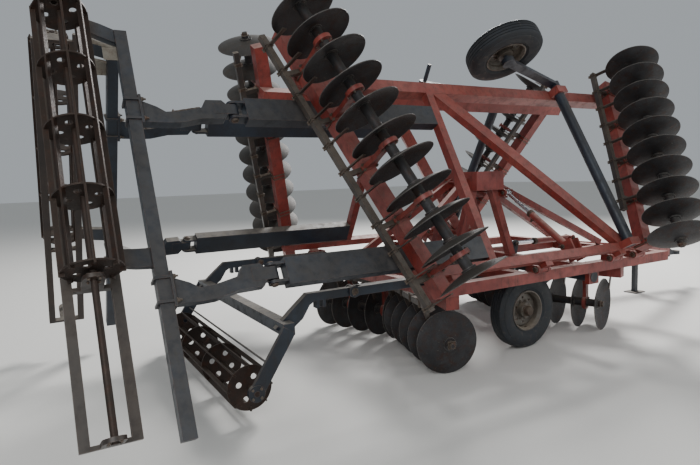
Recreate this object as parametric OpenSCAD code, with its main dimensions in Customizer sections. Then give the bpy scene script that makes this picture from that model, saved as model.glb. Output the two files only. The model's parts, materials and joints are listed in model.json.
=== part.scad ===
/* [Frame] */
// Height of the middle of the frame beams over the ground
frame_z = 770; // [760:1:820]
// Side of the square beams of the centre frame
centre_beam = 100; // [80:5:120]
// Distance from the centre plane to the middle of a side beam of the centre frame
centre_rail_y = 1140; // [1120:5:1150]
// Front end of the centre frame, measured forward from the datum
centre_front = 920; // [900:5:960]
// Rear end of the side beams of the centre frame, measured back from the datum
centre_rear = 2390; // [2350:5:2400]
// Side of the square beams of a wing
wing_beam = 80; // [70:5:90]
// Width of the outer rail and of the brace of a wing
wing_wide = 120; // [100:5:130]
// Height of a gang beam
gang_beam = 120; // [100:5:140]

/* [Folding] */
// Angle that a wing is folded up, from flat
wing_fold = 119; // [100:1:125]
// Distance from the centre plane to the fold hinge
hinge_y = 1225; // [1215:1:1240]
// Height of the fold hinge
hinge_z = 850; // [845:1:870]
// Radius of the hinge pins
hinge_pin_r = 20; // [14:1:24]

/* [Disc gangs] */
// Radius of a disc
disc_r = 280; // [250:5:285]
// Thickness of a disc
disc_t = 6; // [4:0.5:8]
// Depth of the dish of a disc
disc_dish = 56; // [40:1:62]
// Distance from disc to disc along the shaft
disc_pitch = 246; // [230:1:260]
// Depth of the gang shaft under the middle of the frame beams
gang_drop = 486; // [480:1:500]
// Angle of the front gangs to a line square across the machine
front_angle = 19.5; // [15:0.5:22]
// Angle of the rear gangs to a line square across the machine
rear_angle = 17; // [14:0.5:20]
// Radius of the spools between the discs
spool_r = 42; // [36:1:50]

/* [Rollers] */
// Radius over the bars of a cage roller
roller_r = 175; // [160:1:178]
// Depth of the bars of a cage roller
roller_bar = 32; // [20:1:40]
// Side of the square tube that carries a wing roller
post = 86; // [76:1:96]
// Distance from the datum back to the carrying tube of a wing roller
post_back = 4520; // [4480:5:4560]
// Distance from the datum back to the axis of a wing roller
roller_back = 4932; // [4925:1:4940]

/* [Wheels] */
// Radius of a tyre
tyre_r = 376; // [370:1:385]
// Width of a tyre
tyre_w = 184; // [160:4:200]
// Radius of a rim
rim_r = 195; // [180:5:210]
// Distance from the datum back to the wheel axles
wheel_back = 1000; // [980:5:1020]

/* [Drawbar] */
// Distance from the datum forward to the middle of the hitch eye
hitch_reach = 3100; // [2900:10:3300]
// Height of the hitch eye
hitch_z = 480; // [440:5:520]
// Radius of the bore of the hitch eye
hitch_bore_r = 26; // [20:1:30]

/* [Hidden] */
$fn = 64;

LEFT = 1;
RIGHT = -1;
RED = "#8c3a34";
DARK = "#2b2f33";
STEEL = "#4a4743";
RUBBER = "#22252a";
CHROME = "#9aa0a6";

// Running gap round a shaft and the gap between pieces that slide past each other
run_gap = 0.05;
side_gap = 6;

// The datum is the plane x = 0 of the drawing; the machine is then moved so that it is
// centred over the origin from end to end
front_end = hitch_reach + 75;
rear_end = roller_back + roller_r;
mid_x = (front_end - rear_end) / 2;

// Levels of the frame
centre_top = frame_z + centre_beam / 2;
centre_under = frame_z - centre_beam / 2;
wing_top = frame_z + wing_beam / 2;
wing_under = frame_z - wing_beam / 2;
gang_z = frame_z - gang_drop;

// Wing rails: distance from the centre plane with the wing laid flat
inner_rail_y = 1300;
outer_rail_y = 3130;
inner_rail = [-2650, 250];
outer_rail = [-3200, 950];
cross_x = -1800;

// Gangs. Columns: angle, x and y of the innermost disc, number of discs, +1 where the outer
// end is forward and -1 where it is back
wing_front = [front_angle, 141, 1142, 10, 1];
wing_rear = [rear_angle, -2510, 1152, 11, -1];
centre_front_gang = [front_angle, -130, 190, 4, 1];
centre_rear_gang = [rear_angle, -1855, 152, 5, -1];
A = 0; X = 1; Y = 2; COUNT = 3; LEAD = 4;
gang_end = 70;
scraper_back = 215;
scraper_z = frame_z - 130;
hanger_t = 36;

// Booms of the wing rollers. The arms hang from them and clamp round the carrying tube
boom_w = 200;
boom_h = 100;
boom_insets = [165, 315];
boom_ys = [inner_rail_y + boom_insets[0], outer_rail_y - boom_insets[1]];
boom_end = -3690;
boom_front = cross_x - wing_beam / 2;
carry_x = -3780;
carry_z = wing_under + boom_h / 2;
post_ys = [525, 3485];
post_front = -post_back + post / 2;
arm_h = 76;
arm_root = carry_x - 90;
arm_neck = [arm_root - 430, arm_root - 330];
clamp_y = -30;
clamp_step = 80;
link_ys = [1730, 3485];
roller_z = frame_z - 245;
rack_xs = [-5064, -4800];
rack_z = frame_z - 60;
rack_w = 56;
rack_ys = [590, 3475];
cage_span = [1530, 3395];

// Centre roller: booms on the frame, cranked arms hinged to them, cross tube and cage
c_boom_y = 1000;
c_boom_w = 96;
c_boom_h = 70;
c_arm_t = 56;
c_pivot = [-3050, centre_top + c_boom_h / 2];
c_boom_end = c_pivot[0] + 70;
c_bend_x = -3455;
c_tube = [-3650, 665];
c_tube_w = 90;
c_tube_half = 1130;
c_roller = [-3920, 250];
c_cage_half = 980;

// Axles
axle_x = -30;
centre_axle_x = -300;
axle_r = 54;
axle_z = wing_under - axle_r - 12;
wheel_z = tyre_r;
centre_wheel_y = 850;
wing_wheel_y = outer_rail_y + wing_wide / 2 + 64 + tyre_w / 2;
wing_arm_y = outer_rail_y + wing_wide / 2 + 30;
spindle_r = 24;

// Mast
mast_y = 250;
mast_top = 1760;
mast_front = [-820, -470];
mast_rear = [-1000, -1300];
mast_leg = 80;
fold_pin_r = 16;

// Fold cylinders: pin on the mast and pin on the wing, for the left side, wing folded
fold_x = -600;
cyl_r = 36;
rod_r = 20;
cyl_gap = 42;
eye_w = 68;
pin_half = cyl_gap - 2.3;
fold_mast = [260, 1520];
fold_pin_reach = 220;
fold_pin_angle = 138;
fold_wing = [hinge_y + fold_pin_reach * cos(fold_pin_angle),
             hinge_z + fold_pin_reach * sin(fold_pin_angle)];
fold_flat = [fold_pin_reach * cos(fold_pin_angle - wing_fold),
             fold_pin_reach * sin(fold_pin_angle - wing_fold)];
fold_len = norm(fold_mast - fold_wing);
fold_dir = atan2(fold_mast[1] - fold_wing[1], fold_mast[0] - fold_wing[0]);
fold_stroke = 360;

// Lift cylinder: pin on the drawbar and pin on the crank of the centre axle
lift_fixed = [760, 890];
lift_crank = [centre_axle_x + 50, axle_z + 240];
lift_len = norm(lift_crank - lift_fixed);
lift_dir = atan2(lift_crank[1] - lift_fixed[1], lift_crank[0] - lift_fixed[0]);

// Drawbar
draw_root_y = 560;
draw_nose_x = hitch_reach - 330;
draw_nose_y = 62;
draw_w = 80;
draw_h = 110;
stand_x = 2150;
stand_y = 0;

// Moves the drawing so that it is centred over the origin
module machine() {
  translate([-mid_x, 0, 0]) children();
}

// Draws the left side as it is and the right side as its mirror
module to_side(side) {
  if (side == LEFT) children();
  else mirror([0, 1, 0]) children();
}

// Takes a wing drawn flat on the left and folds it up on the side asked for
module folded(side) {
  machine() to_side(side)
    translate([0, hinge_y, hinge_z]) rotate([wing_fold, 0, 0])
      translate([0, -hinge_y, -hinge_z]) children();
}

// A box beam of width w and height h from point p to point q
module beam(p, q, w, h) {
  d = q - p;
  translate(p)
    rotate([0, -atan2(d[2], norm([d[0], d[1]])), atan2(d[1], d[0])])
      translate([0, -w / 2, -h / 2]) cube([norm(d), w, h]);
}

// A bar along x, y or z, given by its two corners
module box(a, b) {
  translate(a) cube(b - a);
}

// A cylinder along y, of length w and centred on the point
module across(p, r, w) {
  translate(p) rotate([90, 0, 0]) cylinder(r = r, h = w, center = true);
}

// A cylinder along x, centred on the point
module along(p, r, w) {
  translate(p) rotate([0, 90, 0]) cylinder(r = r, h = w, center = true);
}

// Stands at the innermost disc of a gang, with x out along its shaft
module at_gang(g) {
  translate([g[X], g[Y], gang_z]) rotate([0, 0, 90 - g[LEAD] * g[A]]) children();
}

// Half section of one dished disc, seen from the shaft, hollow side up
module disc_section() {
  dish_r = (disc_r * disc_r + disc_dish * disc_dish) / (2 * disc_dish);
  intersection() {
    translate([0, dish_r]) difference() {
      circle(r = dish_r, $fn = 256);
      circle(r = dish_r - disc_t, $fn = 256);
    }
    square([disc_r, disc_dish + disc_t]);
  }
}

// A gang of dished discs, spools and shaft, turned about x. The hollow sides face the way
// that face says
module gang_rotor(count, face) {
  span = (count - 1) * disc_pitch;
  rotate([0, 90, 0]) rotate_extrude() union() {
    translate([0, -gang_end]) square([18, span + 2 * gang_end]);
    for (i = [0 : count - 1]) {
      translate([0, i * disc_pitch]) {
        if (face > 0) disc_section();
        else mirror([0, 1]) disc_section();
        translate([0, -14]) square([spool_r + 16, 28]);
      }
      if (i < count - 1) translate([0, i * disc_pitch]) square([spool_r, disc_pitch]);
    }
    translate([0, -40]) square([34, 40]);
    translate([0, span]) square([34, 40]);
  }
}

// Places of the hangers of a gang, half way between discs
function hanger_places(count) = [
  for (i = [0 : 2 : count - 2]) (i + 0.5) * disc_pitch
];

// Outline of a bearing hanger, square to the shaft: a flange under the gang beam, a web
// that narrows and the round bearing housing
module hanger_outline(h) {
  circle(r = 78);
  polygon([[-44, 40], [-40, h * 0.55], [-62, h - 14], [-82, h - 14], [-82, h],
           [82, h], [82, h - 14], [62, h - 14], [40, h * 0.55], [44, 40]]);
}

// Gang beam with its bearing hangers. The beam starts at the place a along the shaft and
// ends at the place b
module gang_beam_with_hangers(g, top, a, b) {
  drop = top - gang_beam - gang_z;
  at_gang(g) difference() {
    union() {
      translate([a, -gang_beam / 2, drop]) cube([b - a, gang_beam, gang_beam]);
      for (c = hanger_places(g[COUNT])) translate([c - hanger_t / 2, 0, 0]) {
        rotate([90, 0, 90]) linear_extrude(hanger_t) hanger_outline(drop + 1);
        translate([-12, -70, drop - 12]) cube([hanger_t + 24, 140, 13]);
      }
    }
    for (c = hanger_places(g[COUNT])) translate([c, 0, 0])
      rotate([0, 90, 0]) cylinder(r = spool_r + run_gap, h = hanger_t + 2, center = true);
  }
}

// Scraper bar of a gang, with a strap for every disc from the one numbered first. The
// straps reach into the hollow of the discs
module scraper_bar(g, back, face, first) {
  span = (g[COUNT] - 1) * disc_pitch;
  start = first * disc_pitch - 30 + 90 * min(face, 0);
  at_gang(g) {
    b = back * scraper_back;
    z = scraper_z - gang_z;
    translate([start, b - 25, z - 25]) cube([span + 30 + 90 * max(face, 0) - start, 50, 50]);
    for (i = [first : g[COUNT] - 1]) translate([i * disc_pitch + face * 84, 0, 0])
      beam([0, b, z], [0, back * 130, 150], 10, 44);
    for (a = hanger_places(g[COUNT])) if (a > start) translate([a, 0, 0])
      beam([0, back * gang_beam / 2, z], [0, b, z], 40, 40);
  }
}

// Places of the fold hinges along the frame
hinge_xs = [-2250, -1150, -80, 300];

/* Centre frame */
module centre_rails() {
  color(RED) machine() for (side = [LEFT, RIGHT]) to_side(side) difference() {
    union() {
      box([-centre_rear, centre_rail_y - centre_beam / 2, centre_under],
          [centre_front, centre_rail_y + centre_beam / 2, centre_top]);
      for (x = hinge_xs) for (dx = [-65, 65]) {
        box([x + dx - 15, centre_rail_y - 20, centre_top - 1],
            [x + dx + 15, hinge_y, hinge_z + 36]);
        along([x + dx, hinge_y, hinge_z], 38, 30);
      }
      box([centre_axle_x - 75, centre_rail_y - 40, axle_z - 70],
          [centre_axle_x + 75, centre_rail_y + 10, centre_under + 1]);
    }
    for (x = hinge_xs) along([x, hinge_y, hinge_z], hinge_pin_r + run_gap, 200);
    across([centre_axle_x, centre_rail_y - 15, axle_z], axle_r + run_gap, 60);
  }
}

module centre_cross_beams() {
  inner = centre_rail_y - centre_beam / 2;
  color(RED) machine() difference() {
    union() {
      for (x = [-2300, mast_rear[1], mast_front[1], centre_front - centre_beam / 2])
        box([x - centre_beam / 2, -inner, centre_under],
            [x + centre_beam / 2, inner, centre_top]);
      for (side = [-1, 1]) {
        box([-2300, side * 345 - 40, centre_under + 0.01],
            [centre_front - 20, side * 345 + 40, centre_top - 5]);
        box([centre_axle_x - 70, side * 345 - 30, axle_z - 68],
            [centre_axle_x + 70, side * 345 + 30, centre_under + 1]);
      }
      for (y = [-cyl_gap - 20, cyl_gap]) {
        box([lift_fixed[0] - 40, y, centre_under + 20],
            [centre_front - centre_beam + 10, y + 20, lift_fixed[1]]);
        across([lift_fixed[0], y + 10, lift_fixed[1]], 40, 20);
      }
    }
    across([centre_axle_x, 0, axle_z], axle_r + run_gap, 1000);
    across([lift_fixed[0], 0, lift_fixed[1]], fold_pin_r - 2, 110);
  }
  color(RED) machine() across([lift_fixed[0], 0, lift_fixed[1]], fold_pin_r, 2 * cyl_gap + 44);
}

module mast_leg_pair(y) {
  difference() {
    union() {
      beam([mast_front[0], y, mast_top - 40], [mast_front[1], y, centre_top - 30],
           mast_leg, mast_leg);
      beam([mast_rear[0], y, mast_top - 40], [mast_rear[1], y, centre_top - 30],
           mast_leg, mast_leg);
    }
    box([-3000, y - 200, 0], [1000, y + 200, centre_top]);
    box([-3000, y - 200, mast_top - 200], [1000, y + 200, mast_top + 400]);
  }
}

module mast() {
  color(RED) machine() {
    box([-1090, -mast_y - 60, mast_top - 201], [-700, mast_y + 60, mast_top]);
    for (side = [LEFT, RIGHT]) to_side(side) {
      mast_leg_pair(mast_y - 60);
      box([-760, mast_y - 80, fold_mast[1] - 60],
          [fold_x + cyl_gap + 20, mast_y - 40, fold_mast[1] + 60]);
      difference() {
        union() for (dx = [-cyl_gap - 20, cyl_gap]) {
          box([fold_x + dx, mast_y - 41, fold_mast[1] - 40],
              [fold_x + dx + 20, fold_mast[0] + 5, fold_mast[1] + 40]);
          along([fold_x + dx + 10, fold_mast[0], fold_mast[1]], 42, 20);
        }
        along([fold_x, fold_mast[0], fold_mast[1]], fold_pin_r - 2, 400);
      }
      for (dx = [-1, 1])
        along([fold_x + dx * (cyl_gap + 11), fold_mast[0], fold_mast[1]], fold_pin_r, 22);
    }
  }
}

module mast_braces() {
  color(RED) machine() for (side = [-1, 1]) {
    difference() {
      beam([-780, side * 100, mast_top - 80], [880, side * 345, centre_top + 30], 60, 70);
      box([-1500, -600, mast_top - 300], [-699.7, 600, mast_top + 200]);
      box([0, -900, 0], [1500, 900, centre_top + 0.3]);
    }
    difference() {
      beam([-1040, side * 96, mast_top - 80], [-2320, side * 345, centre_top - 10], 60, 70);
      box([-1090.3, -600, mast_top - 300], [-500, 600, mast_top + 200]);
      box([-3000, -900, 0], [0, 900, centre_top]);
    }
  }
}

// Height of the middle of the drawbar at a place along it
function draw_z(x) = frame_z + (hitch_z - frame_z) * (x - centre_front) / (hitch_reach - centre_front);

module drawbar() {
  sleeve_z = draw_z(stand_x);
  color(RED) machine() difference() {
    union() {
      for (side = [-1, 1]) difference() {
        beam([centre_front - 60, side * draw_root_y, frame_z],
             [draw_nose_x + 100, side * draw_nose_y, draw_z(draw_nose_x)], draw_w, draw_h);
        box([-500, -900, 0], [centre_front, 900, 1400]);
        box([draw_nose_x, -900, 0], [hitch_reach + 500, 900, 1200]);
      }
      box([stand_x - 35, -230, sleeve_z - 35], [stand_x + 35, 230, sleeve_z + 35]);
      box([stand_x - 50, -50, sleeve_z - 90], [stand_x + 50, 50, sleeve_z + 90]);
    }
    box([stand_x - 30.3, -30.3, 0], [stand_x + 30.3, 30.3, 1500]);
  }
}

module hitch() {
  color(DARK) machine() {
    z = draw_z(draw_nose_x);
    difference() {
      union() {
        box([draw_nose_x, -draw_nose_y - 50, z - 70], [draw_nose_x + 40, draw_nose_y + 50, z + 70]);
        hull() {
          box([draw_nose_x + 40, -60, z - 60], [draw_nose_x + 60, 60, z + 60]);
          box([hitch_reach - 80, -40, hitch_z - 25], [hitch_reach - 60, 40, hitch_z + 25]);
        }
        translate([hitch_reach, 0, hitch_z]) cylinder(r = 75, h = 50, center = true);
      }
      translate([hitch_reach, 0, hitch_z]) cylinder(r = hitch_bore_r, h = 200, center = true);
    }
  }
}

module park_stand() {
  color(DARK) machine() {
    box([stand_x - 30, -30, 12], [stand_x + 30, 30, 860]);
    box([stand_x - 110, -90, 0], [stand_x + 110, 90, 12]);
  }
}

module centre_gang_beams() {
  color(RED) machine() for (side = [LEFT, RIGHT]) to_side(side) {
    gang_beam_with_hangers(centre_front_gang, centre_under, -80, 990);
    gang_beam_with_hangers(centre_rear_gang, centre_under, -80, 1060);
  }
}

module centre_scrapers() {
  color(DARK) machine() for (side = [LEFT, RIGHT]) to_side(side) {
    scraper_bar(centre_front_gang, -1, 1, 0);
    scraper_bar(centre_rear_gang, 1, -1, 0);
  }
}

module gang_front_centre(side) {
  color(STEEL) machine() to_side(side) at_gang(centre_front_gang) gang_rotor(centre_front_gang[COUNT], 1);
}

module gang_rear_centre(side) {
  color(STEEL) machine() to_side(side) at_gang(centre_rear_gang) gang_rotor(centre_rear_gang[COUNT], -1);
}

/* Centre roller */
// A plate in the plane y, of thickness t, from an outline in x and z
module side_plate(y, t) {
  translate([0, y + t / 2, 0]) rotate([90, 0, 0]) linear_extrude(t) children();
}

module centre_roller_booms() {
  h = c_boom_h / 2;
  color(DARK) machine() for (side = [-1, 1]) {
    y = side * c_boom_y;
    box([c_boom_end, y - c_boom_w / 2, centre_top],
        [-2240, y + c_boom_w / 2, centre_top + c_boom_h]);
    for (face = [-1, 1]) difference() {
      side_plate(y + face * (c_boom_w / 2 - 8), 16) union() {
        translate([c_pivot[0], c_pivot[1] - h]) square([c_boom_end + 1 - c_pivot[0], 2 * h]);
        translate(c_pivot) circle(r = h + 12);
      }
      across([c_pivot[0], y, c_pivot[1]], hinge_pin_r, 300);
    }
  }
}

// Outline of a cranked arm, with the stubs of its two stop pegs
module crank_outline() {
  h = c_boom_h / 2 - 2;
  reach = c_tube_w / 2 + 14;
  polygon([
    [c_pivot[0], c_pivot[1] + h], [c_bend_x, c_pivot[1] + h], [c_bend_x - 135, c_pivot[1] - 80],
    [c_tube[0] - reach - 8, c_tube[1] - 6], [c_tube[0] - 8, c_tube[1] - reach],
    [c_tube[0] + reach, c_tube[1] - 30], [c_bend_x - 40, c_tube[1] + 40],
    [c_bend_x + 20, c_pivot[1] - 56], [c_bend_x + 60, c_pivot[1] - h], [c_pivot[0], c_pivot[1] - h]
  ]);
  for (x = [c_bend_x + 75, c_bend_x + 130])
    translate([x, c_pivot[1] - h - 56]) square([28, 57]);
}

module centre_roller_carrier() {
  rail_r = roller_r + 30;
  color(DARK) machine() difference() {
    union() {
      for (side = [-1, 1]) {
        y = side * c_boom_y;
        side_plate(y, c_arm_t) crank_outline();
        across([c_pivot[0], y, c_pivot[1]], 42, c_arm_t + 4);
        across([c_pivot[0], y, c_pivot[1]], hinge_pin_r - run_gap, c_boom_w + 30);
        beam([c_tube[0], side * (c_tube_half - 15), c_tube[1]],
             [c_roller[0], side * (c_tube_half - 15), c_roller[1]], 30, 104);
        across([c_roller[0], side * (c_tube_half - 15), c_roller[1]], 62, 38);
      }
      box([c_tube[0] - c_tube_w / 2, 10 - c_tube_half, c_tube[1] - c_tube_w / 2],
          [c_tube[0] + c_tube_w / 2, c_tube_half - 10, c_tube[1] + c_tube_w / 2]);
      translate([c_roller[0], 0, c_roller[1]]) rotate([0, -50, 0])
        translate([rail_r, 20 - c_tube_half, -36]) cube([14, 2 * c_tube_half - 40, 72]);
    }
    across([c_roller[0], 0, c_roller[1]], 20 + run_gap, 2 * c_tube_half + 100);
  }
}

// A cage of bars let into plates, about y, between y0 and y1. The bars stick out past the
// plates by the length past
module cage(y0, y1, plates, bars, stub, past) {
  step = (y1 - y0) / (plates - 1);
  translate([0, y0, 0]) rotate([-90, 0, 0]) difference() {
    union() {
      translate([0, 0, -stub]) cylinder(r = 20, h = y1 - y0 + 2 * stub);
      for (i = [0 : plates - 1]) translate([0, 0, i * step - 5])
        cylinder(r = roller_r - 6, h = 10);
      for (k = [0 : bars - 1]) rotate([0, 0, k * 360 / bars])
        translate([roller_r - roller_bar, -6, -past]) cube([roller_bar, 12, y1 - y0 + 2 * past]);
    }
    for (k = [0 : 3]) rotate([0, 0, k * 90 + 22.5])
      translate([roller_r * 0.5, 0, -step]) cylinder(r = roller_r * 0.13, h = y1 - y0 + 2 * step, $fn = 24);
  }
}

module centre_roller_cage() {
  color(STEEL) machine() translate([c_roller[0], 0, c_roller[1]])
    cage(-c_cage_half, c_cage_half, 4, 8, c_tube_half + 6 - c_cage_half, 12);
}

/* Centre axle and wheels */
module axle_arm(x, y, w) {
  beam([x, y, axle_z], [-wheel_back, y, wheel_z], w, 84);
  across([-wheel_back, y, wheel_z], 64, w + 10);
}

module axle_centre() {
  color(DARK) machine() {
    across([centre_axle_x, 0, axle_z], axle_r, 2 * centre_rail_y + 30);
    for (side = [-1, 1]) {
      axle_arm(centre_axle_x, side * 660, 70);
      across([-wheel_back, side * 800, wheel_z], spindle_r, 280);
    }
    for (y = [-cyl_gap - 20, cyl_gap]) {
      beam([centre_axle_x, y + 10, axle_z], [lift_crank[0], y + 10, lift_crank[1]], 20, 76);
      across([lift_crank[0], y + 10, lift_crank[1]], 44, 24);
    }
    for (dy = [-1, 1])
      across([lift_crank[0], dy * (cyl_gap + 14), lift_crank[1]], fold_pin_r, 32);
  }
}

// Tyre and rim about y, centred on the point
module tyre(p) {
  translate(p) rotate([90, 0, 0]) rotate_extrude($fn = 96) polygon([
    [rim_r + 5, -tyre_w / 2 + 30], [tyre_r - 120, -tyre_w / 2], [tyre_r - 60, -tyre_w / 2],
    [tyre_r - 18, -tyre_w / 2 + 22], [tyre_r, -tyre_w / 2 + 60], [tyre_r, tyre_w / 2 - 60],
    [tyre_r - 18, tyre_w / 2 - 22], [tyre_r - 60, tyre_w / 2], [tyre_r - 120, tyre_w / 2],
    [rim_r + 5, tyre_w / 2 - 30]
  ]);
}

// Well of the rim, dished wheel disc with hand holes, and hub
module rim(p) {
  translate(p) rotate([90, 0, 0]) difference() {
    rotate_extrude() {
      polygon([[rim_r + 5, -tyre_w / 2 + 16], [rim_r + 5, tyre_w / 2 - 16], [rim_r - 6, tyre_w / 2 - 16],
               [rim_r - 22, tyre_w / 2 - 44], [rim_r - 22, 22], [rim_r - 42, 6], [60, 6],
               [60, -6], [rim_r - 38, -6], [rim_r - 22, 6],
               [rim_r - 22, 44 - tyre_w / 2], [rim_r - 6, 16 - tyre_w / 2]]);
      translate([spindle_r + run_gap, -60]) square([76 - spindle_r - run_gap, 120]);
    }
    for (k = [0 : 7]) rotate([0, 0, k * 45])
      translate([122, 0, 0]) cylinder(r = 13, h = tyre_w, center = true);
  }
}

/* Cylinders, drawn along x from the eye of the barrel */
module cylinder_barrel(len) {
  difference() {
    union() {
      across([0, 0, 0], 34, eye_w);
      along([25 + len / 2, 0, 0], cyl_r, len);
    }
    across([0, 0, 0], fold_pin_r + run_gap, eye_w + 2);
    along([60 + len / 2, 0, 0], rod_r + 0.5, len);
  }
}

// The rod with its eye and the length of pin that is fixed in it
module cylinder_rod(start, end) {
  along([(start + end - 20) / 2, 0, 0], rod_r, end - 20 - start);
  across([end, 0, 0], 34, eye_w);
  across([end, 0, 0], fold_pin_r, 2 * pin_half);
}

module lift_frame() {
  machine() translate([lift_fixed[0], 0, lift_fixed[1]]) rotate([0, -lift_dir, 0]) children();
}

module lift_barrel() {
  color(RED) lift_frame() cylinder_barrel(620);
}

module lift_rod() {
  color(CHROME) lift_frame() cylinder_rod(lift_len - 560, lift_len);
}

module fold_frame(side) {
  machine() to_side(side) translate([fold_x, fold_wing[0], fold_wing[1]])
    rotate([fold_dir, 0, 0]) rotate([0, 0, 90]) children();
}

module fold_barrel(side) {
  color(RED) fold_frame(side) cylinder_barrel(540);
}

module fold_rod(side) {
  color(CHROME) fold_frame(side) cylinder_rod(110, fold_len);
}

/* Wings, drawn flat on the left */
module wing_beams(side) {
  h = wing_beam / 2;
  color(RED) folded(side) {
    difference() {
      union() {
        box([inner_rail[0], inner_rail_y - h, wing_under], [inner_rail[1], inner_rail_y + h, wing_top]);
        for (x = hinge_xs) {
          box([x - 44, hinge_y - 8, wing_under + 10], [x + 44, inner_rail_y - h + 1, hinge_z + 34]);
          along([x, hinge_y, hinge_z], 36, 88);
        }
        for (dx = [-cyl_gap - 20, cyl_gap]) {
          box([fold_x + dx, inner_rail_y - h, wing_top - 1],
              [fold_x + dx + 20, hinge_y + fold_flat[0] + 40, hinge_z + fold_flat[1]]);
          along([fold_x + dx + 10, hinge_y + fold_flat[0], hinge_z + fold_flat[1]], 40, 20);
        }
        box([axle_x - 74, inner_rail_y - h + 5, axle_z - 70],
            [axle_x + 74, inner_rail_y + h - 2, wing_under + 1]);
      }
      across([axle_x, inner_rail_y, axle_z], axle_r + run_gap, 200);
    }
    for (x = hinge_xs) along([x, hinge_y, hinge_z], hinge_pin_r, 164);
    along([fold_x, hinge_y + fold_flat[0], hinge_z + fold_flat[1]], fold_pin_r, 2 * cyl_gap + 44);
    o = wing_wide / 2;
    difference() {
      union() {
        box([outer_rail[0], outer_rail_y - o, wing_under],
            [outer_rail[1], outer_rail_y + o, wing_under + wing_wide]);
        box([axle_x - 74, outer_rail_y - o + 20, axle_z - 70],
            [axle_x + 74, outer_rail_y + o - 20, wing_under + 1]);
      }
      across([axle_x, outer_rail_y, axle_z], axle_r + run_gap, 200);
    }
    box([cross_x - h, inner_rail_y + h, wing_under], [cross_x + h, outer_rail_y - o, wing_top]);
    difference() {
      beam([80, inner_rail_y - 60, frame_z], [-1800, outer_rail_y + 60, frame_z], wing_wide, wing_beam - 4);
      box([-3000, 0, 0], [1000, inner_rail_y, 2000]);
      box([-3000, outer_rail_y, 0], [1000, 4000, 2000]);
    }
  }
}

module wing_gang_beams(side) {
  color(RED) folded(side) {
    gang_beam_with_hangers(wing_front, wing_under, 90, (wing_front[COUNT] - 1) * disc_pitch + 60);
    gang_beam_with_hangers(wing_rear, wing_under, -60, (wing_rear[COUNT] - 1) * disc_pitch + 60);
  }
}

module wing_scrapers(side) {
  color(DARK) folded(side) {
    scraper_bar(wing_front, 1, 1, 2);
    scraper_bar(wing_rear, 1, -1, 0);
  }
}

module gang_front_wing(side) {
  color(STEEL) folded(side) at_gang(wing_front) gang_rotor(wing_front[COUNT], 1);
}

module gang_rear_wing(side) {
  color(STEEL) folded(side) at_gang(wing_rear) gang_rotor(wing_rear[COUNT], -1);
}

module wing_axle(side) {
  color(DARK) folded(side) {
    across([axle_x, (inner_rail_y - 30 + wing_arm_y + 28) / 2, axle_z], axle_r,
           wing_arm_y + 58 - inner_rail_y);
    axle_arm(axle_x, wing_arm_y, 44);
    across([-wheel_back, wing_arm_y + 110, wheel_z], spindle_r, 240);
  }
}

module roller_booms(side) {
  color(DARK) folded(side) for (y = boom_ys) {
    box([boom_end, y - boom_w / 2, wing_under], [boom_front, y + boom_w / 2, wing_under + boom_h]);
    for (dy = [-75, 55]) difference() {
      union() {
        box([carry_x, y + dy, carry_z - 45], [boom_end + 1, y + dy + 20, carry_z + 45]);
        across([carry_x, y + dy + 10, carry_z], 45, 20);
      }
      across([carry_x, y, carry_z], hinge_pin_r, 300);
    }
  }
}

// Outline of a roller arm seen from above, from its eye back to the clamp on the tube, with
// y = 0 at the middle of its boom
module arm_outline() {
  polygon([
    [carry_x - 60, -45], [arm_root, -88], [arm_root - 180, -94], [arm_neck[1], -130],
    [arm_neck[0], -135], [post_front - 10, clamp_y - 100], [post_front - 10, clamp_y + 88],
    [arm_neck[0] - 60, clamp_y + 30], [arm_neck[0], -42], [arm_neck[1], -34],
    [arm_root - 165, 4], [arm_root - 125, 75], [arm_root, 78], [carry_x - 60, 45]
  ]);
}

// Outline of the curved link between the carrying tube and the roller's frame, drawn from
// the tube's middle back to the rail, its outer edge on y = 0 at the tube
module link_outline(rise) {
  far = -norm([rack_xs[1] + post_back, carry_z - rack_z]);
  polygon([
    [30, -128], [30, 0], [-40, rise * 0.1], [far * 0.5, rise * 0.62], [far, rise],
    [far, rise - 108], [far * 0.5, rise * 0.62 - 124]
  ]);
}

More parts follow.
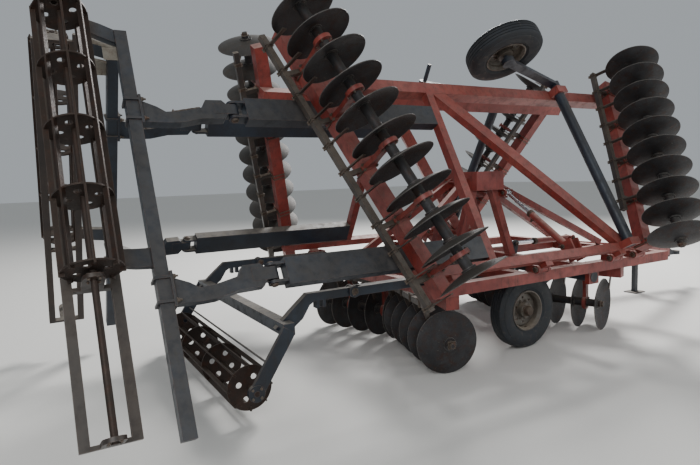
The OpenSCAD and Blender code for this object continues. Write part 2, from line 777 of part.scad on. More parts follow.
module roller_carrier(side) {
  link_slope = atan2(carry_z - rack_z, -post_back - rack_xs[1]);
  color(DARK) folded(side) difference() {
    union() {
      for (y = boom_ys) {
        beam([carry_x, y, carry_z], [carry_x - 160, y, carry_z], 90, 80);
        translate([0, y, carry_z - arm_h / 2]) linear_extrude(arm_h) arm_outline();
        across([carry_x, y, carry_z], 40, 90);
        across([carry_x, y, carry_z], hinge_pin_r - run_gap, 160);
        box([post_front - 1, y + clamp_y - 118, carry_z - 58],
            [post_front + 17, y + clamp_y + 118, carry_z + 58]);
        for (dy = [-clamp_step, clamp_step])
          box([-post_back - post / 2 - 15, y + clamp_y + dy - 9, carry_z - post / 2 - 15],
              [post_front + 5, y + clamp_y + dy + 9, carry_z + post / 2 + 15]);
      }
      box([-post_back - post / 2, post_ys[0], carry_z - post / 2],
          [-post_back + post / 2, post_ys[1], carry_z + post / 2]);
      for (i = [0, 1]) translate([-post_back, link_ys[i], carry_z])
        rotate([0, -link_slope, 0]) translate([0, 0, -22]) linear_extrude(44) link_outline(i * 60 - 15);
      for (x = rack_xs) {
        out = x < -roller_back ? -1 : 1;
        difference() {
          box([x - rack_w / 2, rack_ys[0], rack_z - 25], [x + rack_w / 2, rack_ys[1], rack_z + 25]);
          translate([x - rack_w / 2 - out * 9, rack_ys[0] - 1, rack_z - 17])
            cube([rack_w, rack_ys[1] - rack_ys[0] + 2, 34]);
        }
      }
      for (y = [rack_ys[0], cage_span[0] - 60, rack_ys[1] - 24]) {
        box([rack_xs[0] - rack_w / 2 + 4, y, rack_z - 24], [rack_xs[1] + rack_w / 2 - 4, y + 24, rack_z + 24]);
        box([-roller_back - 60, y, roller_z], [-roller_back + 60, y + 24, rack_z]);
        across([-roller_back, y + 12, roller_z], 60, 24);
      }
    }
    across([-roller_back, 2000, roller_z], 20 + run_gap, 4000);
  }
}

module roller_cage(side) {
  color(STEEL) folded(side) translate([-roller_back, 0, roller_z]) {
    cage(cage_span[0], cage_span[1], 5, 8, 12, 22);
    across([0, (rack_ys[0] - 10 + rack_ys[1] + 10) / 2, 0], 20, rack_ys[1] - rack_ys[0] + 20);
  }
}

/* Wheels */
module tyre_centre(side) {
  color(RUBBER) machine() to_side(side) tyre([-wheel_back, centre_wheel_y, wheel_z]);
}
module rim_centre(side) {
  color(DARK) machine() to_side(side) rim([-wheel_back, centre_wheel_y, wheel_z]);
}
module tyre_wing(side) {
  color(RUBBER) folded(side) tyre([-wheel_back, wing_wheel_y, wheel_z]);
}
module rim_wing(side) {
  color(DARK) folded(side) rim([-wheel_back, wing_wheel_y, wheel_z]);
}

centre_rails();
centre_cross_beams();
mast();
mast_braces();
drawbar();
hitch();
park_stand();
centre_gang_beams();
centre_scrapers();
centre_roller_booms();
centre_roller_carrier();
centre_roller_cage();
axle_centre();
lift_barrel();
lift_rod();
gang_front_centre(LEFT);  // gang_front_centre_left
gang_front_centre(RIGHT);  // gang_front_centre_right
gang_rear_centre(LEFT);  // gang_rear_centre_left
gang_rear_centre(RIGHT);  // gang_rear_centre_right
tyre_centre(LEFT);  // tyre_centre_left
tyre_centre(RIGHT);  // tyre_centre_right
rim_centre(LEFT);  // rim_centre_left
rim_centre(RIGHT);  // rim_centre_right
wing_beams(LEFT);  // wing_beams_left
wing_beams(RIGHT);  // wing_beams_right
wing_gang_beams(LEFT);  // wing_gang_beams_left
wing_gang_beams(RIGHT);  // wing_gang_beams_right
wing_scrapers(LEFT);  // wing_scrapers_left
wing_scrapers(RIGHT);  // wing_scrapers_right
wing_axle(LEFT);  // wing_axle_left
wing_axle(RIGHT);  // wing_axle_right
gang_front_wing(LEFT);  // gang_front_wing_left
gang_front_wing(RIGHT);  // gang_front_wing_right
gang_rear_wing(LEFT);  // gang_rear_wing_left
gang_rear_wing(RIGHT);  // gang_rear_wing_right
roller_booms(LEFT);  // roller_booms_left
roller_booms(RIGHT);  // roller_booms_right
roller_carrier(LEFT);  // roller_carrier_left
roller_carrier(RIGHT);  // roller_carrier_right
roller_cage(LEFT);  // roller_cage_left
roller_cage(RIGHT);  // roller_cage_right
tyre_wing(RIGHT);  // tyre_wing_right
rim_wing(RIGHT);  // rim_wing_right
fold_barrel(LEFT);  // fold_barrel_left
fold_barrel(RIGHT);  // fold_barrel_right
fold_rod(LEFT);  // fold_rod_left
fold_rod(RIGHT);  // fold_rod_right
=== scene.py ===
from collections import namedtuple
import json
import math

import bmesh
import bpy
from mathutils import Matrix, Vector


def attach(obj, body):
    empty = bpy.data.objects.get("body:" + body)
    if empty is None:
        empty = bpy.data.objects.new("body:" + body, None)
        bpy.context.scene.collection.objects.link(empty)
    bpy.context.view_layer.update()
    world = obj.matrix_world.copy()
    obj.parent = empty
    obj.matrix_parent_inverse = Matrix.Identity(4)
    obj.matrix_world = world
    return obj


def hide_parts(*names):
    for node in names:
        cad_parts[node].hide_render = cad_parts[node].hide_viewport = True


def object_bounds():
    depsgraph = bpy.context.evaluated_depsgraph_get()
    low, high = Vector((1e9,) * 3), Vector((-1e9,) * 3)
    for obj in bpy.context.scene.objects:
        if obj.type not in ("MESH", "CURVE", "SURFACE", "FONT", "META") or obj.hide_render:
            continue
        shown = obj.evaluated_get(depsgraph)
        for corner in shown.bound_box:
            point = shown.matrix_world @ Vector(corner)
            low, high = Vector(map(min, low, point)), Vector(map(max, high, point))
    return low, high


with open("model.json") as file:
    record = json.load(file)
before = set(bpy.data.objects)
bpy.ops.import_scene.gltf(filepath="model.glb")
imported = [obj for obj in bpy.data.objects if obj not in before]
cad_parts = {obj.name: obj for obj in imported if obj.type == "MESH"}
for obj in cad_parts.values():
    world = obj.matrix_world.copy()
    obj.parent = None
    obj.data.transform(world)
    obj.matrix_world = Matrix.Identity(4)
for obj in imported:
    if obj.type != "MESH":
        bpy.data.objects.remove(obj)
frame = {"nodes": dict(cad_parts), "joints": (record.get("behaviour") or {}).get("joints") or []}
CAD_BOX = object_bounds()

bl_info = {
    "name": "Disc Harrow Dress",
    "version": (1, 0, 0),
    "blender": (4, 5, 0),
    "location": "View3D > Sidebar > Harrow",
    "description": "Dresses the folded disc harrow with paint, wear, tyres and fittings",
    "category": "Object",
}

MM = 0.001
# The hitch eye reaches this far, in metres, in front of the datum in the middle of the
# frame, from which the lengths of the machine are measured
HITCH_REACH = 3.175
DATUM_X = CAD_BOX[1].x - HITCH_REACH
SIDES = {"left": 1.0, "right": -1.0}
JOINTS = {joint["name"]: joint for joint in frame["joints"]}
FOLD_HINGE = Vector(JOINTS["fold_left"]["pos_m"])
FOLD = math.radians(JOINTS["fold_left"]["range_deg"][1])

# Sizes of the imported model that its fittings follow. They are in millimetres, with lengths
# from the datum, on the left side and with the wing laid flat. What turns about a joint
# takes its place from that joint.

# Gangs: their shafts' hangers, and the scrapers that hang from a bar beside each beam
DISC_PITCH = 246
GANG_BEAM = 120
HANGER = 36
HANGER_PLATE = 12
HOUSING_TOP = 77
HOUSING_BOLTS_R = 60
SHAFT_COLLAR = 40
SCRAPER_AWAY = 215
SCRAPER_HIGH = 356
SCRAPER_BAR = 50
STRAP_BESIDE = 84
# Depth of the shaft under its beam, side of the scraper bar and of the straps, and the
# first disc that has a strap
Gang = namedtuple("Gang", "name on_wing discs depth bar_side strap_side first_strap")
GANGS = (
    Gang("front_wing", True, 10, 326, 1, 1, 2),
    Gang("rear_wing", True, 11, 326, 1, -1, 0),
    Gang("front_centre", False, 4, 316, -1, 1, 0),
    Gang("rear_centre", False, 5, 316, 1, -1, 0),
)

# Wheels; outwards is 1 where the joint's axis points away from the middle
Wheel = namedtuple("Wheel", "joint tyre body outwards")
WHEELS = (
    Wheel("wheel_turn_centre_left", "tyre_centre_left", "wheel_centre_left", 1),
    Wheel("wheel_turn_centre_right", "tyre_centre_right", "wheel_centre_right", -1),
    Wheel("wheel_turn_right", "tyre_wing_right", "wheel_right", 1),
)
TYRE_R = 376
TYRE_HALF = 92
BEAD_R = 201
BEAD_HALF = 66
HUB_HALF = 60
WHEEL_NUTS_R = 92
WHEEL_DISC_HALF = 6

# Frame and mast, with the edges of the mast's feet and the faces of its head
FRAME_TOP = 820
RAIL_INNER_Y = 1090
CROSS_BEAM_XS = (-2300, -1300, -470, 870)
CROSS_BEAM = 100
MAST_FEET_XS = (-524, -438, -1333, -1247)
MAST_FEET_YS = (150, 230)
MAST_HEAD_FRONT = -699
MAST_HEAD_BACK = -1091

# Wings, with their hinges, and the cross beam that carries the roller booms
HINGE_XS = (-2250, -1150, -80, 300)
HINGE_EARS = (-81, -49, 49, 81)
HINGE_EAR_YS = (1120, 1188)
WING_RAIL_YS = (1340, 3070)
WING_BEAM_X = -1800
WING_BEAM = 80
WING_TOP = 810

# Cylinders. Columns: name, joint at the eye of the barrel, joint of the rod, body of the
# barrel, end of the barrel from its eye
CYLINDERS = (
    ("fold_left", "fold_barrel_swivel_left", "fold_rod_slide_left", "fold_barrel_left", 565),
    ("fold_right", "fold_barrel_swivel_right", "fold_rod_slide_right", "fold_barrel_right", 565),
    ("lift", "lift_barrel_swivel", "lift_rod_slide", "lift_barrel_body", 645),
)
BARREL_R = 36
ROD_R = 20

# Pins, as radii and as half of the length between the heads
PIN_R = 20
HINGE_PIN_HALF = 80.4
ARM_PIN_HALF = 76
CENTRE_ARM_PIN_HALF = 48.5
CYLINDER_PIN_R = 16
LUG_PIN_HALF = 64
CRANK_PIN_HALF = 72

# Wing rollers: their booms, the clamps of their arms on the tube, with bolts beside and
# above the middle of each, and the front of their frames
BOOM_YS = (1465, 2815)
BOOM_HALF = 100
TUBE_CLAMP_X = -4460
TUBE_CLAMP_ASIDE = -30
TUBE_BOLTS = (80, 51)
ROLLER_FRAME_X = -4690
# Bearings of the wing rollers with the way that each one faces, and the ends of their bars
ROLLER_BEARINGS = ((590, -1), (1494, 1), (1470, -1), (3475, 1))
BEARING_BOLTS_R = 42
BAR_ENDS_Y = 3416
BAR_ENDS_R = 159

# Centre roller
CENTRE_BOOM_Y = 1000
CENTRE_BEARING_Y = 1134
CENTRE_BOLTS_R = 46

# Hitch, with bolts beside and above its middle
HITCH_PLATE_X = 2810
HITCH_Z = 524
HITCH_BOLTS = (88, 46)


# Materials

def linear(hex_colour):
    """An sRGB hex colour as linear RGBA"""
    channels = [int(hex_colour[i:i + 2], 16) / 255 for i in (1, 3, 5)]
    return tuple(
        c / 12.92 if c <= 0.04045 else ((c + 0.055) / 1.055) ** 2.4 for c in channels
    ) + (1.0,)


def add(tree, kind, settings=(), inputs=()):
    """A node with its settings, and each input's value or the socket that feeds it"""
    node = tree.nodes.new(kind)
    for name, value in dict(settings).items():
        setattr(node, name, value)
    for name, value in dict(inputs).items():
        if isinstance(value, bpy.types.NodeSocket):
            tree.links.new(value, node.inputs[name])
        elif isinstance(value, str):
            node.inputs[name].default_value = linear(value)
        else:
            node.inputs[name].default_value = value
    return node


def per_size(millimetres):
    """The scale of a texture whose features are that many millimetres apart"""
    return 1000.0 / millimetres


# Settings of the nodes that the materials share
SMOOTH = {"interpolation_type": "SMOOTHSTEP"}
TIMES = {"operation": "MULTIPLY", "use_clamp": True}
PLUS = {"operation": "ADD", "use_clamp": True}
MINUS = {"operation": "SUBTRACT", "use_clamp": True}
# Sockets of the Mix node that mixes colours, which shares their names with others
MIX_FACTOR = 0
MIX_UNDER = 6
MIX_OVER = 7
MIX_RESULT = 2


def blotches(tree, place, millimetres, detail, roughness, low, high, least=0.0, most=1.0,
             distortion=0.0):
    """Soft-edged blotches of a size: least where their noise is under low, and most where it
    is over high"""
    cloud = add(tree, "ShaderNodeTexNoise", inputs={
        "Vector": place, "Scale": per_size(millimetres), "Detail": detail,
        "Roughness": roughness, "Distortion": distortion}).outputs["Fac"]
    return add(tree, "ShaderNodeMapRange", SMOOTH, {
        "Value": cloud, "From Min": low, "From Max": high, "To Min": least,
        "To Max": most}).outputs["Result"]


def lay_over(tree, colour, layers):
    """A colour under its layers, each given as how much of it covers and its own colour"""
    for amount, over in layers:
        mixed = add(tree, "ShaderNodeMix", {"data_type": "RGBA"},
                    {MIX_FACTOR: amount, MIX_UNDER: colour, MIX_OVER: over})
        colour = mixed.outputs[MIX_RESULT]
    return colour


# The height of a surface's normal when it lies so flat that dust stays on it
NEARLY_LEVEL = 0.9


def facing_up(tree, low, most):
    """How far a surface faces the sky: nothing under low, and most when nearly level"""
    normal = add(tree, "ShaderNodeNewGeometry").outputs["Normal"]
    height = add(tree, "ShaderNodeSeparateXYZ", inputs={"Vector": normal}).outputs["Z"]
    return add(tree, "ShaderNodeMapRange", SMOOTH, {
        "Value": height, "From Min": low, "From Max": NEARLY_LEVEL,
        "To Max": most}).outputs["Result"]


# Where a rounded edge has turned off the flat: the cosines where the band along an edge begins
# and is full
EDGE_BAND_BEGINS = 0.99
EDGE_BAND_FULL = 0.86


def edge_band_mask(tree, millimetres):
    """How near a surface is to an edge, from 0 to 1, over a width in millimetres"""
    soft = add(tree, "ShaderNodeBevel", {"samples": 4}, {"Radius": millimetres * MM})
    flat = add(tree, "ShaderNodeNewGeometry")
    same = add(tree, "ShaderNodeVectorMath", {"operation": "DOT_PRODUCT"},
               {0: soft.outputs["Normal"], 1: flat.outputs["Normal"]})
    return add(tree, "ShaderNodeMapRange", SMOOTH, {
        "Value": same.outputs["Value"], "From Min": EDGE_BAND_BEGINS,
        "From Max": EDGE_BAND_FULL}).outputs["Result"]


def start_material(name):
    """An empty material, its tree and the place on the piece that its patterns read"""
    material = bpy.data.materials.new(name)
    material.use_nodes = True
    tree = material.node_tree
    tree.nodes.clear()
    place = add(tree, "ShaderNodeTexCoord").outputs["Object"]
    return material, tree, place


# That of enamel and of rubber, and the default that a metal keeps
IOR = 1.5
BUMP_STRENGTH = 0.6


def close_material(tree, colour, roughness, metallic, height=None, depth=0.0):
    """The shader that the patterns feed; depth is that of the bump in millimetres"""
    inputs = {"Base Color": colour, "Roughness": roughness, "Metallic": metallic, "IOR": IOR}
    if height is not None:
        bump = add(tree, "ShaderNodeBump", inputs={
            "Height": height, "Strength": BUMP_STRENGTH, "Distance": depth * MM})
        inputs["Normal"] = bump.outputs["Normal"]
    shader = add(tree, "ShaderNodeBsdfPrincipled", inputs=inputs)
    add(tree, "ShaderNodeOutputMaterial", inputs={"Surface": shader.outputs["BSDF"]})


# Colours under the paint: stains of rust round its chips, primer where it is rubbed, and
# the two browns of the steel that the soil has bared
RUST_STAIN = "#4f2c1c"
RUBBED_PRIMER = "#6a5348"
BARED_DARK = "#211a17"
BARED_PALE = "#32261f"
# Half of the stretch, in metres, over which the paint gives way to bared steel
GIVES_WAY = 0.05
# How many times longer a streak of rain and rust is than it is wide
STREAK_STRETCH = 8.0
# How softly a chip ends and how far its stain spreads, in steps of the noise of the chips
CHIP_EDGE = 0.02
STAIN_SPREAD = 0.06


def weathered_paint(name, colour, faded, dust, chips, bare="#2c2320", gone_behind=None):
    """Brushed farm enamel: faded by the sun in wide clouds, dusty where it faces up, worn
    to rust along its edges and chipped in spots, with streaks that run down. Behind the
    place gone_behind the soil has taken it off, and brown rust shows. Real brush marks are
    finer than a pixel, so they are drawn 5 mm apart."""
    material, tree, place = start_material(name)
    clouds = blotches(tree, place, 420, 5, 0.6, 0.35, 0.68)
    grime = blotches(tree, place, 90, 8, 0.65, 0.42, 0.72)
    drawn_down = add(tree, "ShaderNodeMapping", inputs={
        "Vector": place, "Scale": (1.0, 1.0, 1.0 / STREAK_STRETCH)}).outputs["Vector"]
    streaks = blotches(tree, drawn_down, 26, 5, 0.6, 0.52, 0.68, 0.0, 0.45)
    dusty = add(tree, "ShaderNodeMath", TIMES, {
        0: facing_up(tree, 0.3, 1.0),
        1: blotches(tree, place, 60, 6, 0.7, 0.25, 0.6, 0.3, 0.85)}).outputs["Value"]
    rubbed = add(tree, "ShaderNodeMath", TIMES, {
        0: edge_band_mask(tree, 7),
        1: blotches(tree, place, 38, 6, 0.65, 0.38, 0.62, 0.0, 0.75)}).outputs["Value"]
    soiled = add(tree, "ShaderNodeMath", TIMES, {0: grime, 1: 0.4}).outputs["Value"]
    spots = add(tree, "ShaderNodeTexNoise", inputs={
        "Vector": place, "Scale": per_size(22), "Detail": 9, "Roughness": 0.72,
        "Distortion": 0.3}).outputs["Fac"]
    chip = add(tree, "ShaderNodeMapRange", SMOOTH, {
        "Value": spots, "From Min": chips, "From Max": chips + CHIP_EDGE}).outputs["Result"]
    stain = add(tree, "ShaderNodeMapRange", SMOOTH, {
        "Value": spots, "From Min": chips - STAIN_SPREAD, "From Max": chips + CHIP_EDGE,
        "To Max": 0.55}).outputs["Result"]
    layers = [(soiled, bare), (streaks, bare), (dusty, dust), (stain, RUST_STAIN),
              (rubbed, RUBBED_PRIMER), (chip, bare)]
    if gone_behind is not None:
        along = add(tree, "ShaderNodeSeparateXYZ", inputs={"Vector": place}).outputs["X"]
        gone = add(tree, "ShaderNodeMapRange", SMOOTH, {
            "Value": along, "From Min": gone_behind + GIVES_WAY,
            "From Max": gone_behind - GIVES_WAY}).outputs["Result"]
        layers.insert(0, (gone, lay_over(tree, BARED_DARK, [(clouds, BARED_PALE)])))
    tone = lay_over(tree, colour, [(clouds, faded)] + layers)
    dulled = add(tree, "ShaderNodeMapRange", SMOOTH, {
        "Value": grime, "To Min": 0.42, "To Max": 0.62}).outputs["Result"]
    powder = add(tree, "ShaderNodeMath", TIMES, {0: dusty, 1: 0.3}).outputs["Value"]
    rough = add(tree, "ShaderNodeMath", PLUS, {0: dulled, 1: powder}).outputs["Value"]
    brushed = add(tree, "ShaderNodeTexNoise", inputs={
        "Vector": place, "Scale": per_size(5), "Detail": 4, "Roughness": 0.6}).outputs["Fac"]
    flaked = add(tree, "ShaderNodeMath", TIMES, {0: chip, 1: 0.6}).outputs["Value"]
    height = add(tree, "ShaderNodeMath", MINUS, {0: brushed, 1: flaked}).outputs["Value"]
    close_material(tree, tone, rough, 0.0, height, 0.5)
    return material


def soil_worn_steel(name, colour, paler, soil, rust, edge_wear_and_highlight):
    """Rolled disc steel: scoured by the soil and dulled again by weather, with a thin
    bloom of rust, specks of dried earth, and edges worn bare and lightened by a painted
    highlight. Grains of rust are finer than a pixel, so they are drawn 9 mm apart."""
    material, tree, place = start_material(name)
    cloud = blotches(tree, place, 210, 6, 0.6, 0.3, 0.72)
    bloom = blotches(tree, place, 70, 8, 0.68, 0.46, 0.7, 0.0, 0.7)
    specks = blotches(tree, place, 26, 8, 0.7, 0.6, 0.7, 0.0, 0.55, distortion=0.5)
    grains = add(tree, "ShaderNodeTexNoise", inputs={
        "Vector": place, "Scale": per_size(9), "Detail": 7, "Roughness": 0.7}).outputs["Fac"]
    pits = add(tree, "ShaderNodeMapRange", SMOOTH, {
        "Value": grains, "From Min": 0.54, "From Max": 0.7, "To Max": 0.5}).outputs["Result"]
    soiled = add(tree, "ShaderNodeMath", PLUS, {
        0: specks, 1: facing_up(tree, 0.2, 0.4)}).outputs["Value"]
    # Edges lightened: partly steel worn bare there, partly a painted highlight along them
    edge = add(tree, "ShaderNodeMath", TIMES, {
        0: edge_band_mask(tree, 5), 1: 0.7}).outputs["Value"]
    tone = lay_over(tree, colour, [(cloud, paler), (bloom, rust), (pits, rust),
                                   (soiled, soil), (edge, edge_wear_and_highlight)])
    covered = add(tree, "ShaderNodeMath", TIMES, {0: soiled, 1: 0.45}).outputs["Value"]
    metal = add(tree, "ShaderNodeMath", MINUS, {0: 0.5, 1: covered}).outputs["Value"]
    rough = add(tree, "ShaderNodeMapRange", SMOOTH, {
        "Value": grains, "From Min": 0.3, "From Max": 0.7, "To Min": 0.48,
        "To Max": 0.74}).outputs["Result"]
    height = add(tree, "ShaderNodeMath", PLUS, {0: grains, 1: specks}).outputs["Value"]
    close_material(tree, tone, rough, metal, height, 0.6)
    return material


def road_rubber(name):
    """Vulcanised tyre rubber, grey with road dust, with patches of dried mud. Its
    skin is finer than a pixel, so it is drawn 4 mm coarse."""
    material, tree, place = start_material(name)
    cloud = blotches(tree, place, 80, 7, 0.6, 0.35, 0.7)
    mud = blotches(tree, place, 45, 8, 0.7, 0.56, 0.7, 0.0, 0.5, distortion=0.5)
    scuffed = add(tree, "ShaderNodeMath", TIMES, {
        0: edge_band_mask(tree, 6), 1: 0.3}).outputs["Value"]
    tone = lay_over(tree, "#14171b", [(cloud, "#282c31"), (mud, "#5b5349"),
                                      (scuffed, "#4a4a49")])
    rough = add(tree, "ShaderNodeMapRange", SMOOTH, {
        "Value": cloud, "To Min": 0.6, "To Max": 0.85}).outputs["Result"]
    skin = add(tree, "ShaderNodeTexNoise", inputs={
        "Vector": place, "Scale": per_size(4), "Detail": 4, "Roughness": 0.6}).outputs["Fac"]
    close_material(tree, tone, rough, 0.0, skin, 0.4)
    return material


def hard_chrome(name):
    """Hard chrome on a ground hydraulic rod: a clear mirror with a few oily smears. Its
    grain is finer than a pixel, so it is drawn 2 mm coarse."""
    material, tree, place = start_material(name)
    rough = blotches(tree, place, 30, 5, 0.6, 0.3, 0.7, 0.12, 0.32)
    ground = add(tree, "ShaderNodeTexNoise", inputs={
        "Vector": place, "Scale": per_size(2), "Detail": 2, "Roughness": 0.5}).outputs["Fac"]
    close_material(tree, "#c4c8cc", rough, 1.0, ground, 0.02)
    return material


RED_ENAMEL = "weathered red enamel"
ROLLER_STEEL = "rusted roller bars"
BOLT_STEEL = "rusted bolt steel"


def bolt_steel():
    """Rolled bolt steel, once plated and now brown with rust, its corners worn bare and
    lightened by a painted highlight
    """
    return bpy.data.materials.get(BOLT_STEEL) or soil_worn_steel(
        BOLT_STEEL, colour="#3a322c", paler="#54493f", soil="#6b5d4e", rust="#54301f",
        edge_wear_and_highlight="#8d857b")


# Shapes

def side_of(side):
    """Mirrors what is drawn on the left to its side"""
    return Matrix.Diagonal((1.0, SIDES[side], 1.0, 1.0))


def datum_place(side, folded):
    """Sets what is drawn flat on the left, in millimetres from the datum, on its side"""
    place = Matrix.Translation((DATUM_X, 0.0, 0.0))
    if folded:
        hinge = Vector((0.0, FOLD_HINGE.y, FOLD_HINGE.z))
        place = (place @ Matrix.Translation(hinge) @ Matrix.Rotation(FOLD, 4, "X")
                 @ Matrix.Translation(-hinge))
    return side_of(side) @ place @ Matrix.Scale(MM, 4)


def drawn_at(joint, folded):
    """Where a joint is in the drawing, flat on the left, in millimetres from the datum"""
    return datum_place("left", folded).inverted() @ Vector(JOINTS[joint]["pos_m"])


def gang_place(gang, side):
    """Stands at the innermost disc of a gang, x out along its shaft and z to its beam"""
    joint = JOINTS["turn_" + gang.name + "_left"]
    along = Vector(joint["axis"]).normalized()
    up = Vector((0.0, 0.0, 1.0))
    if gang.on_wing:
        up = Vector((0.0, -math.sin(FOLD), math.cos(FOLD)))
    turn = Matrix((along, up.cross(along), up)).transposed().to_4x4()
    return side_of(side) @ Matrix.Translation(joint["pos_m"]) @ turn @ Matrix.Scale(MM, 4)


def axis_place(joint, along):
    """Stands at a joint with z along an axis"""
    turn = Vector((0.0, 0.0, 1.0)).rotation_difference(Vector(along).normalized())
    at = Matrix.Translation(JOINTS[joint]["pos_m"])
    return at @ turn.to_matrix().to_4x4() @ Matrix.Scale(MM, 4)


def stand_on(mesh, verts, at, along):
    """Stands what is drawn along z on a point, and points it along a direction"""
    turn = Vector((0.0, 0.0, 1.0)).rotation_difference(Vector(along).normalized())
    matrix = Matrix.Translation(at) @ turn.to_matrix().to_4x4()
    bmesh.ops.transform(mesh, matrix=matrix, verts=verts)


def ring(axis, radius, count, first=0.0):
    """So many places spread round the x, y or z axis, the first at an angle in degrees"""
    for index in range(count):
        turn = math.radians(first + 360.0 * index / count)
        level, high = radius * math.cos(turn), radius * math.sin(turn)
        yield Vector({"x": (0.0, level, high), "y": (level, 0.0, high),
                      "z": (level, high, 0.0)}[axis])


def prism(mesh, at, along, radius, height, sides, top=1.0):
    """A plate with so many sides that stands on a point; top is the share of its radius
    that its far face keeps"""
    made = bmesh.ops.create_cone(mesh, cap_ends=True, cap_tris=False, segments=sides,
                                 radius1=radius, radius2=radius * top, depth=height)
    bmesh.ops.translate(mesh, vec=(0.0, 0.0, height / 2), verts=made["verts"])
    stand_on(mesh, made["verts"], at, along)


# Shares of a nut's width across its flats
WASHER_THICK = 0.14
NUT_HIGH = 0.5
THREAD_R = 0.3
# How far a washer reaches past the nut's corners
WASHER_REACH = 1.12


def nut(mesh, at, along, flats, thread=0.35):
    """A washer, a hexagon nut and the end of its thread, on a face"""
    along = Vector(along).normalized()
    corner = flats / math.sqrt(3)
    washer = flats * WASHER_THICK
    high = flats * NUT_HIGH
    prism(mesh, at, along, corner * WASHER_REACH, washer, 12)
    prism(mesh, Vector(at) + along * washer, along, corner, high, 6, 0.96)
    if thread:
        prism(mesh, Vector(at) + along * (washer + high), along, flats * THREAD_R,
              flats * thread, 8, 0.85)


def turned(mesh, at, along, stations, segments, closed=False):
    """A shape turned on a lathe from stations of distance and radius along an axis"""
    before = set(mesh.verts)
    verts = [mesh.verts.new((radius, 0.0, far)) for far, radius in stations]
    pairs = list(zip(verts, verts[1:])) + ([(verts[-1], verts[0])] if closed else [])
    edges = [mesh.edges.new(pair) for pair in pairs]
    bmesh.ops.spin(mesh, geom=verts + edges, cent=(0, 0, 0), axis=(0, 0, 1),
                   angle=2 * math.pi, steps=segments, use_merge=True)
    made = [vert for vert in mesh.verts if vert not in before]
    bmesh.ops.remove_doubles(mesh, verts=made, dist=0.001)
    made = [vert for vert in mesh.verts if vert not in before]
    stand_on(mesh, made, at, along)
    return made


def edges_of(mesh, verts):
    """The edges of a shape with these vertices, in the mesh's own order"""
    chosen = set(verts)
    return [edge for edge in mesh.edges if edge.verts[0] in chosen]


def block(mesh, low, high, soften):
    """A plate between two corners, its edges softened"""
    low, high = Vector(low), Vector(high)
    verts = bmesh.ops.create_cube(mesh, size=1.0)["verts"]
    bmesh.ops.scale(mesh, vec=high - low, verts=verts)
    bmesh.ops.translate(mesh, vec=(low + high) / 2, verts=verts)
    bmesh.ops.bevel(mesh, geom=edges_of(mesh, verts), offset=soften, offset_type="OFFSET",
                    segments=1, profile=0.5, affect="EDGES", material=-1)


def bent_bar(mesh, points, radius, segments=8):
    """A round bar through some points, mitred at its bends"""
    points = [Vector(point) for point in points]
    circle = bmesh.ops.create_circle(mesh, cap_ends=True, segments=segments, radius=radius)
    stand_on(mesh, circle["verts"], points[0], points[1] - points[0])
    edges = edges_of(mesh, circle["verts"])
    for index in range(1, len(points)):
        here = points[index]
        run = (here - points[index - 1]).normalized()
        last = index == len(points) - 1
        face = run if last else (run + (points[index + 1] - here).normalized()).normalized()
        grown = bmesh.ops.extrude_edge_only(mesh, edges=edges)["geom"]
        verts = [item for item in grown if isinstance(item, bmesh.types.BMVert)]
        edges = [item for item in grown if isinstance(item, bmesh.types.BMEdge)
                 and all(vert in verts for vert in item.verts)]
        for vert in verts:
            vert.co += run * ((here - vert.co).dot(face) / run.dot(face))
    bmesh.ops.holes_fill(mesh, edges=edges, sides=0)


# Radius of a weld bead, the length of its ripples, how far a ripple starts before its
# crest as a share of that length, and its height there as a share of the crest's
WELD_R = 5.0
RIPPLE = 9.0
RIPPLE_LEAD = 0.35
RIPPLE_FOOT = 0.82
# A weld on a beam stops this short of the beam's corners
WELD_STOPS = 2


def weld_bead(mesh, start, end):
    """A weld bead between two points, with the ripples of a hand weld"""
    start, end = Vector(start), Vector(end)
    length = (end - start).length
    steps = max(3, round(length / RIPPLE))
    pitch = length / steps
    stations = [(0.0, 0.0)]
    for step in range(steps):
        crest = (step + 0.5) * pitch
        stations += [(crest - pitch * RIPPLE_LEAD, WELD_R * RIPPLE_FOOT),
                     (crest, WELD_R)]
    stations.append((length, 0.0))
    turned(mesh, start, end - start, stations, 8)


SMOOTH_BELOW = math.radians(35)


def set_piece(name, mesh, place, body, material, replaced=()):
    """Sets a drawn piece in its place and on the body that it rides with"""
    bmesh.ops.transform(mesh, matrix=place, verts=mesh.verts)
    bmesh.ops.recalc_face_normals(mesh, faces=mesh.faces)
    data = bpy.data.meshes.new(name)
    mesh.to_mesh(data)
    mesh.free()
    data.shade_smooth()
    data.set_sharp_from_angle(angle=SMOOTH_BELOW)
    data.materials.append(material)
    piece = bpy.data.objects.new(name, data)
    bpy.context.scene.collection.objects.link(piece)
    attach(piece, body)
    if replaced:
        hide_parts(*replaced)


def set_bolts(name, mesh, place, body):
    """Sets a piece of bolt steel in its place"""
    set_piece(name, mesh, place, body, bolt_steel())


def gangs_and_sides():
    """Each gang on each side: its columns, its name, the body of its beam and its place"""
    for gang in GANGS:
        for side in SIDES:
            carrier = "wing_" + side if gang.on_wing else "root"
            yield gang, gang.name + "_" + side, carrier, gang_place(gang, side)


def cad_nodes(*starts):
    """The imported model's pieces whose names start in one of these ways"""
    return [obj for name, obj in sorted(frame["nodes"].items()) if name.startswith(starts)]


def dress(objects, material):
    """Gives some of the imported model's pieces a material"""
    for obj in objects:
        obj.data.materials.clear()
        obj.data.materials.append(material)


# Settings

